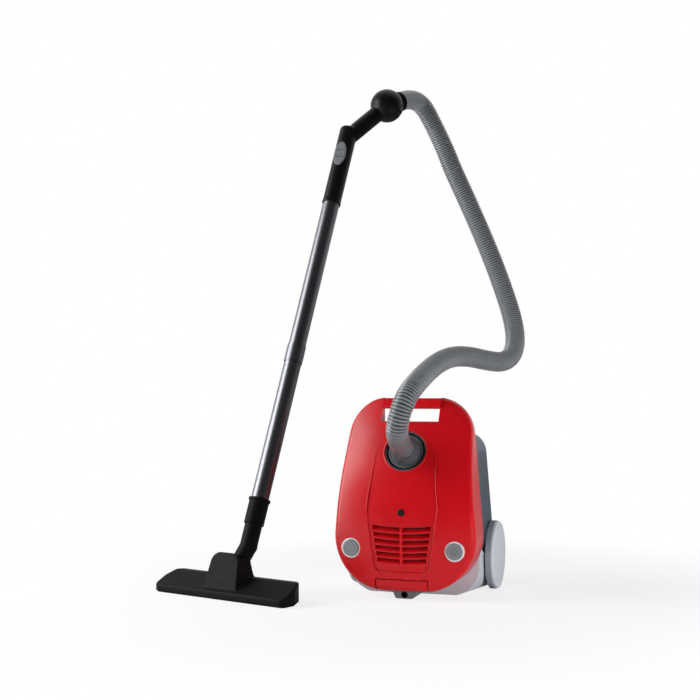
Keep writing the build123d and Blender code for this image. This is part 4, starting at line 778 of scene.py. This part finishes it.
class VACUUM_OT_black_mouldings(Operator):
    """Hose handle and floor head shell, with eased edges and inner corners"""
    bl_idname = "vacuum.black_mouldings"
    bl_label = "Black mouldings"

    def execute(self, context):
        handle = coated(eased_copy("hose_handle", "handle_grip", 6, slack=handle_slack), "black gloss")
        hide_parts("hose_handle")
        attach(handle, "canister")
        shell = coated(eased_copy("head_shell", "floor_head_shell", 4), "black satin")
        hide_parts("head_shell")
        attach(shell, "floor_head")
        return {"FINISHED"}


class VACUUM_OT_cover_beads(Operator):
    """Raised beads on the cover: round the front panel's recess and round the inlet"""
    bl_idname = "vacuum.cover_beads"
    bl_label = "Cover beads"

    def execute(self, context):
        sizes = context.scene.vacuum_sizes
        outline = [Vector((x, before_cover, z)) for x, z in panel_edge]
        steps = [(step, step + 1) for step in range(len(outline) - 1)]
        panel = mesh_from("panel_bead", outline, edges=steps)
        grow(panel, self.tree(Vector((0, 1, 0))), {
            "Corner": panel_corner, "Bead radius": sizes.panel_bead, "Fade": panel_bead_fade,
            "Closed": 0.0})
        across = Vector((1, 0, 0))
        upward = inlet_axis.cross(across)
        ring = inlet_radius + sizes.inlet_bead * 0.7
        middle = inlet_rim + inlet_axis * above_cover
        turns = [2 * pi * step / inlet_bead_steps for step in range(inlet_bead_steps)]
        circle = [middle + (across * cos(turn) + upward * sin(turn)) * ring for turn in turns]
        steps = [(step, (step + 1) % inlet_bead_steps) for step in range(inlet_bead_steps)]
        rim = mesh_from("inlet_bead", circle, edges=steps)
        grow(rim, self.tree(-inlet_axis), {
            "Corner": 0.0, "Bead radius": sizes.inlet_bead, "Fade": 1.0, "Closed": 1.0})
        for bead in (panel, rim):
            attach(bead, "lid")
        return {"FINISHED"}

    def tree(self, heading):
        """Line dropped onto the cover along a heading, drawn as a round bead that fades at open ends."""
        tree, given = new_tree("cover_bead", ["Corner", "Bead radius", "Fade", "Closed"])
        curve = add_node(tree, "GeometryNodeMeshToCurve", None, {"Mesh": given["Geometry"]})
        rounded = add_node(tree, "GeometryNodeFilletCurve", {"mode": "POLY"}, {
            "Curve": curve.outputs["Curve"], "Radius": given["Corner"], "Count": 10, "Limit Radius": True})
        fine = add_node(tree, "GeometryNodeResampleCurve", {"mode": "LENGTH"}, {
            "Curve": rounded.outputs["Curve"], "Length": bead_step})
        cover = add_node(tree, "GeometryNodeObjectInfo", None, {"Object": nodes["top_cover"]})
        drop = add_node(tree, "GeometryNodeRaycast", None, {
            "Target Geometry": cover.outputs["Geometry"], "Ray Direction": tuple(heading),
            "Ray Length": 0.5})
        laid = add_node(tree, "GeometryNodeSetPosition", None, {
            "Geometry": fine.outputs["Curve"], "Position": drop.outputs["Hit Position"]})
        run = add_node(tree, "GeometryNodeSplineParameter").outputs["Length"]
        whole = add_node(tree, "GeometryNodeSplineLength").outputs["Length"]
        left = add_node(tree, "ShaderNodeMath", {"operation": "SUBTRACT"}, {0: whole, 1: run})
        nearest = add_node(tree, "ShaderNodeMath", {"operation": "MINIMUM"}, {
            0: run, 1: left.outputs["Value"]})
        share = add_node(tree, "ShaderNodeMath", {"operation": "DIVIDE"}, {
            0: nearest.outputs["Value"], 1: given["Fade"]})
        full = add_node(tree, "ShaderNodeMath", {"operation": "ADD", "use_clamp": True}, {
            0: share.outputs["Value"], 1: given["Closed"]})
        radius = add_node(tree, "ShaderNodeMath", {"operation": "MULTIPLY"}, {
            0: full.outputs["Value"], 1: given["Bead radius"]})
        close_tube(tree, laid.outputs["Geometry"], radius.outputs["Value"], bead_sides, finish("red"))
        return tree


class VACUUM_OT_soft_pieces(Operator):
    """Paper dust bag with creases, and the two foam filter pads"""
    bl_idname = "vacuum.soft_pieces"
    bl_label = "Dust bag and filters"

    def execute(self, context):
        bag = eased_copy("dust_bag", "paper_bag", 8, bag_voxel)
        low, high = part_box("dust_bag")
        grow(bag, self.crease_tree((low + high) / 2), {"Depth": context.scene.vacuum_sizes.bag_crease})
        smooth_shaded(bag, 60)
        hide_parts("dust_bag")
        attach(bag, "canister")
        pads = (("exhaust_filter", "exhaust_foam", "lid"), ("motor_filter", "motor_foam", "canister"))
        for node, name, body in pads:
            pad = eased_copy(node, name, 3, foam_voxel)
            grow(pad, self.pore_tree(), {"Depth": foam_cell_depth})
            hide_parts(node)
            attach(pad, body)
        return {"FINISHED"}

    def crease_tree(self, middle):
        """Pulls the bag in at its side gussets, and in sharp creases all over."""
        tree, given = new_tree("bag_creases", ["Depth"])
        place = add_node(tree, "GeometryNodeInputPosition").outputs["Position"]
        facing = add_node(tree, "GeometryNodeInputNormal").outputs["Normal"]
        across = add_node(tree, "ShaderNodeSeparateXYZ", None, {"Vector": place}).outputs["Y"]
        from_fold = add_node(tree, "ShaderNodeMath", {"operation": "SUBTRACT"}, {0: across, 1: middle.y})
        away = add_node(tree, "ShaderNodeMath", {"operation": "ABSOLUTE"}, {0: from_fold.outputs["Value"]})
        fold = add_node(tree, "ShaderNodeMapRange", None, {
            "Value": away.outputs["Value"], "From Max": 0.034, "To Min": 2.5, "To Max": 0.0})
        sideways = add_node(tree, "ShaderNodeSeparateXYZ", None, {"Vector": facing}).outputs["X"]
        on_side = add_node(tree, "ShaderNodeMath", {"operation": "ABSOLUTE"}, {0: sideways})
        gusset = add_node(tree, "ShaderNodeMath", {"operation": "MULTIPLY"}, {
            0: fold.outputs["Result"], 1: on_side.outputs["Value"]})
        crumple = add_node(tree, "ShaderNodeTexVoronoi", {"feature": "DISTANCE_TO_EDGE"}, {
            "Vector": place, "Scale": per_metre(34)})
        crease = add_node(tree, "ShaderNodeMapRange", None, {
            "Value": crumple.outputs["Distance"], "From Max": 0.3, "To Min": 0.6, "To Max": 0.0})
        swell = add_node(tree, "ShaderNodeTexNoise", None, {
            "Vector": place, "Scale": per_metre(60), "Detail": 2.0})
        soft = add_node(tree, "ShaderNodeMath", {"operation": "ADD"}, {
            0: swell.outputs["Fac"], 1: crease.outputs["Result"]})
        total = add_node(tree, "ShaderNodeMath", {"operation": "ADD"}, {
            0: soft.outputs["Value"], 1: gusset.outputs["Value"]})
        close_sunk(tree, given, total.outputs["Value"], finish("paper"))
        return tree

    def pore_tree(self):
        """Sinks the foam's cells a little into its faces."""
        tree, given = new_tree("foam_cells", ["Depth"])
        cells = add_node(tree, "ShaderNodeTexNoise", None, {"Scale": per_metre(5), "Detail": 1.0})
        close_sunk(tree, given, cells.outputs["Fac"], finish("foam"))
        return tree


class VACUUM_OT_brushes(Operator):
    """Bristle rows of the floor head, each on its rail"""
    bl_idname = "vacuum.brushes"
    bl_label = "Brush strips"

    def execute(self, context):
        sizes = context.scene.vacuum_sizes
        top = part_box("brush_strips")[1].z
        reach = brush_half_length - bristle_end_gap
        points = []
        for row in brush_rows:
            for line in (-bristle_line_gap, 0, bristle_line_gap):
                for end in (-1, 1):
                    local = Vector((end * reach, row + line, top - head_pivot.z))
                    points.append(head_turn @ local)
        edges = [(step, step + 1) for step in range(0, len(points), 2)]
        brushes = mesh_from("bristle_rows", points, edges=edges)
        grow(brushes, self.tree(), {
            "Length": sizes.bristle_length, "Radius": sizes.bristle_radius, "Count": sizes.bristle_count})
        self.add_rails(brushes, top)
        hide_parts("brush_strips")
        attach(brushes, "floor_head")
        return {"FINISHED"}

    def add_rails(self, brushes, top):
        """Rail that holds each row, with its lower edges bevelled."""
        skin = bmesh.new()
        skin.from_mesh(brushes.data)
        for row in brush_rows:
            rail = bmesh.ops.create_cube(skin, size=1)["verts"]
            reach = Matrix.Diagonal((2 * brush_half_length, 2 * brush_half_depth, rail_height, 1))
            middle = Matrix.Translation((0, row, top - rail_height / 2 - head_pivot.z))
            bmesh.ops.transform(skin, matrix=head_turn @ middle @ reach, verts=rail)
            edges = {edge for vert in rail for edge in vert.link_edges}
            bmesh.ops.bevel(skin, geom=list(edges), offset=rail_bevel, segments=2, affect="EDGES")
        skin.to_mesh(brushes.data)
        skin.free()

    def tree(self):
        """Bristles along each line, leaning a little at random."""
        tree, given = new_tree("bristles", ["Length", "Radius"], ["Count"])
        curve = add_node(tree, "GeometryNodeMeshToCurve", None, {"Mesh": given["Geometry"]})
        roots = add_node(tree, "GeometryNodeCurveToPoints", {"mode": "COUNT"}, {
            "Curve": curve.outputs["Curve"], "Count": given["Count"]})
        bristle = add_node(tree, "GeometryNodeMeshCone", None, {
            "Vertices": 6, "Radius Top": given["Radius"], "Radius Bottom": given["Radius"],
            "Depth": given["Length"]})
        lean = add_node(tree, "FunctionNodeRandomValue", {"data_type": "FLOAT_VECTOR"}, {"Seed": 7})
        lean.inputs[0].default_value = (pi - 0.06, -0.09, -pi)
        lean.inputs[1].default_value = (pi + 0.06, 0.09, pi)
        placed = add_node(tree, "GeometryNodeInstanceOnPoints", None, {
            "Points": roots.outputs["Points"], "Instance": bristle.outputs["Mesh"],
            "Rotation": lean.outputs[0]})
        close_tree(tree, placed.outputs["Instances"], finish("rubber"))
        return tree


class VACUUM_OT_screws(Operator):
    """Cross-head screws of the housing and the floor head"""
    bl_idname = "vacuum.screws"
    bl_label = "Screws"

    def execute(self, context):
        low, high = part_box("housing_screws")
        inset = housing_screw_radius
        backs = [Vector((x, low.y, z)) for x in (low.x + inset, high.x - inset)
                 for z in (low.z + inset, high.z - inset)]
        crown = self.pan_head(housing_screw_radius, high.y - low.y, 0)
        self.set_screws("housing_screw_heads", backs, (-pi / 2, 0, 0), crown, "housing_screws", "canister")
        low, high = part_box("head_screws")
        seat = low.z + sole_screw_head - head_pivot.z
        soles = [head_turn @ Vector((side * sole_screw_reach, sole_screw_row, seat)) for side in (-1, 1)]
        sunk = self.pan_head(sole_screw_radius, sole_screw_head, high.z - low.z - sole_screw_head)
        self.set_screws("head_screw_heads", soles, (pi, 0, 0), sunk, "head_screws", "floor_head")
        return {"FINISHED"}

    def pan_head(self, radius, height, shank):
        """Screw with a low crowned head and a cross recess, standing on its head's underside."""
        rings = [(radius, 0), (radius, height * 0.45), (radius * 0.9, height * 0.8),
                 (radius * 0.62, height)]
        sides = 24
        points = []
        for reach, level in rings:
            points += [(reach * cos(2 * pi * side / sides), reach * sin(2 * pi * side / sides), level)
                       for side in range(sides)]
        faces = [tuple(range(sides))]
        for ring in range(len(rings) - 1):
            for side in range(sides):
                following = (side + 1) % sides
                faces.append((ring * sides + side, ring * sides + following,
                              (ring + 1) * sides + following, (ring + 1) * sides + side))
        faces.append(tuple(range((len(rings) - 1) * sides, len(rings) * sides)))
        head = mesh_from("screw_head", points, faces)
        for turn in (0, pi / 2):
            slot = self.block("recess", (radius * 1.1, radius * 0.24, height * 1.3), height, turn)
            cut = head.modifiers.new("Recess", "BOOLEAN")
            cut.operation = "DIFFERENCE"
            cut.solver = "EXACT"
            cut.object = slot
            settle(head)
            bpy.data.objects.remove(slot)
        if shank:
            skin = bmesh.new()
            skin.from_mesh(head.data)
            placed = Matrix.Translation((0, 0, -shank / 2))
            bmesh.ops.create_cone(skin, cap_ends=True, segments=16, radius1=radius * 0.6,
                                  radius2=radius * 0.7, depth=shank, matrix=placed)
            skin.to_mesh(head.data)
            skin.free()
        return head

    def block(self, name, size, level, turn):
        """Block centred at a level, turned about the screw's axis."""
        skin = bmesh.new()
        turned = Matrix.Translation((0, 0, level)) @ Matrix.Rotation(turn, 4, "Z")
        bmesh.ops.create_cube(skin, size=1, matrix=turned @ Matrix.Diagonal((*size, 1)))
        mesh = bpy.data.meshes.new(name)
        skin.to_mesh(mesh)
        skin.free()
        return new_object(name, mesh)

    def set_screws(self, name, places, turn, screw, node, body):
        """Sets a copy of a screw at each place."""
        screws = mesh_from(name, places)
        tree, given = new_tree("screws", [])
        pattern = add_node(tree, "GeometryNodeObjectInfo", None, {"Object": screw})
        seats = add_node(tree, "GeometryNodeMeshToPoints", None, {"Mesh": given["Geometry"]})
        placed = add_node(tree, "GeometryNodeInstanceOnPoints", None, {
            "Points": seats.outputs["Points"], "Instance": pattern.outputs["Geometry"], "Rotation": turn})
        close_tree(tree, placed.outputs["Instances"], finish("zinc"))
        grow(screws, tree, {})
        bpy.data.objects.remove(screw)
        smooth_shaded(screws)
        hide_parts(node)
        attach(screws, body)


class VACUUM_PT_panel(Panel):
    """Lists the cleaner's pieces and values"""
    bl_label = "Vacuum Cleaner"
    bl_idname = "VACUUM_PT_panel"
    bl_space_type = "VIEW_3D"
    bl_region_type = "UI"
    bl_category = "Vacuum"

    def draw(self, context):
        for operator in piece_operators:
            self.layout.operator(operator.bl_idname)
        for group_name in property_groups:
            group = getattr(context.scene, group_name)
            box = self.layout.box()
            for name in group.__annotations__:
                box.prop(group, name)


piece_operators = [
    VACUUM_OT_stage, VACUUM_OT_hose, VACUUM_OT_finishes, VACUUM_OT_black_mouldings, VACUUM_OT_cover_beads,
    VACUUM_OT_soft_pieces, VACUUM_OT_brushes, VACUUM_OT_screws,
]
property_groups = {
    "vacuum_colours": VacuumColours, "vacuum_sizes": VacuumSizes, "vacuum_stage": VacuumStage,
}


def register():
    for name, group in property_groups.items():
        bpy.utils.register_class(group)
        setattr(bpy.types.Scene, name, PointerProperty(type=group))
    for operator in piece_operators:
        bpy.utils.register_class(operator)
    bpy.utils.register_class(VACUUM_PT_panel)


def unregister():
    bpy.utils.unregister_class(VACUUM_PT_panel)
    for operator in reversed(piece_operators):
        bpy.utils.unregister_class(operator)
    for name, group in property_groups.items():
        delattr(bpy.types.Scene, name)
        bpy.utils.unregister_class(group)


def main():
    register()
    bpy.ops.vacuum.stage()
    bpy.ops.vacuum.hose()
    bpy.ops.vacuum.finishes()
    bpy.ops.vacuum.black_mouldings()
    bpy.ops.vacuum.cover_beads()
    bpy.ops.vacuum.soft_pieces()
    bpy.ops.vacuum.brushes()
    bpy.ops.vacuum.screws()


if __name__ == "__main__":
    main()
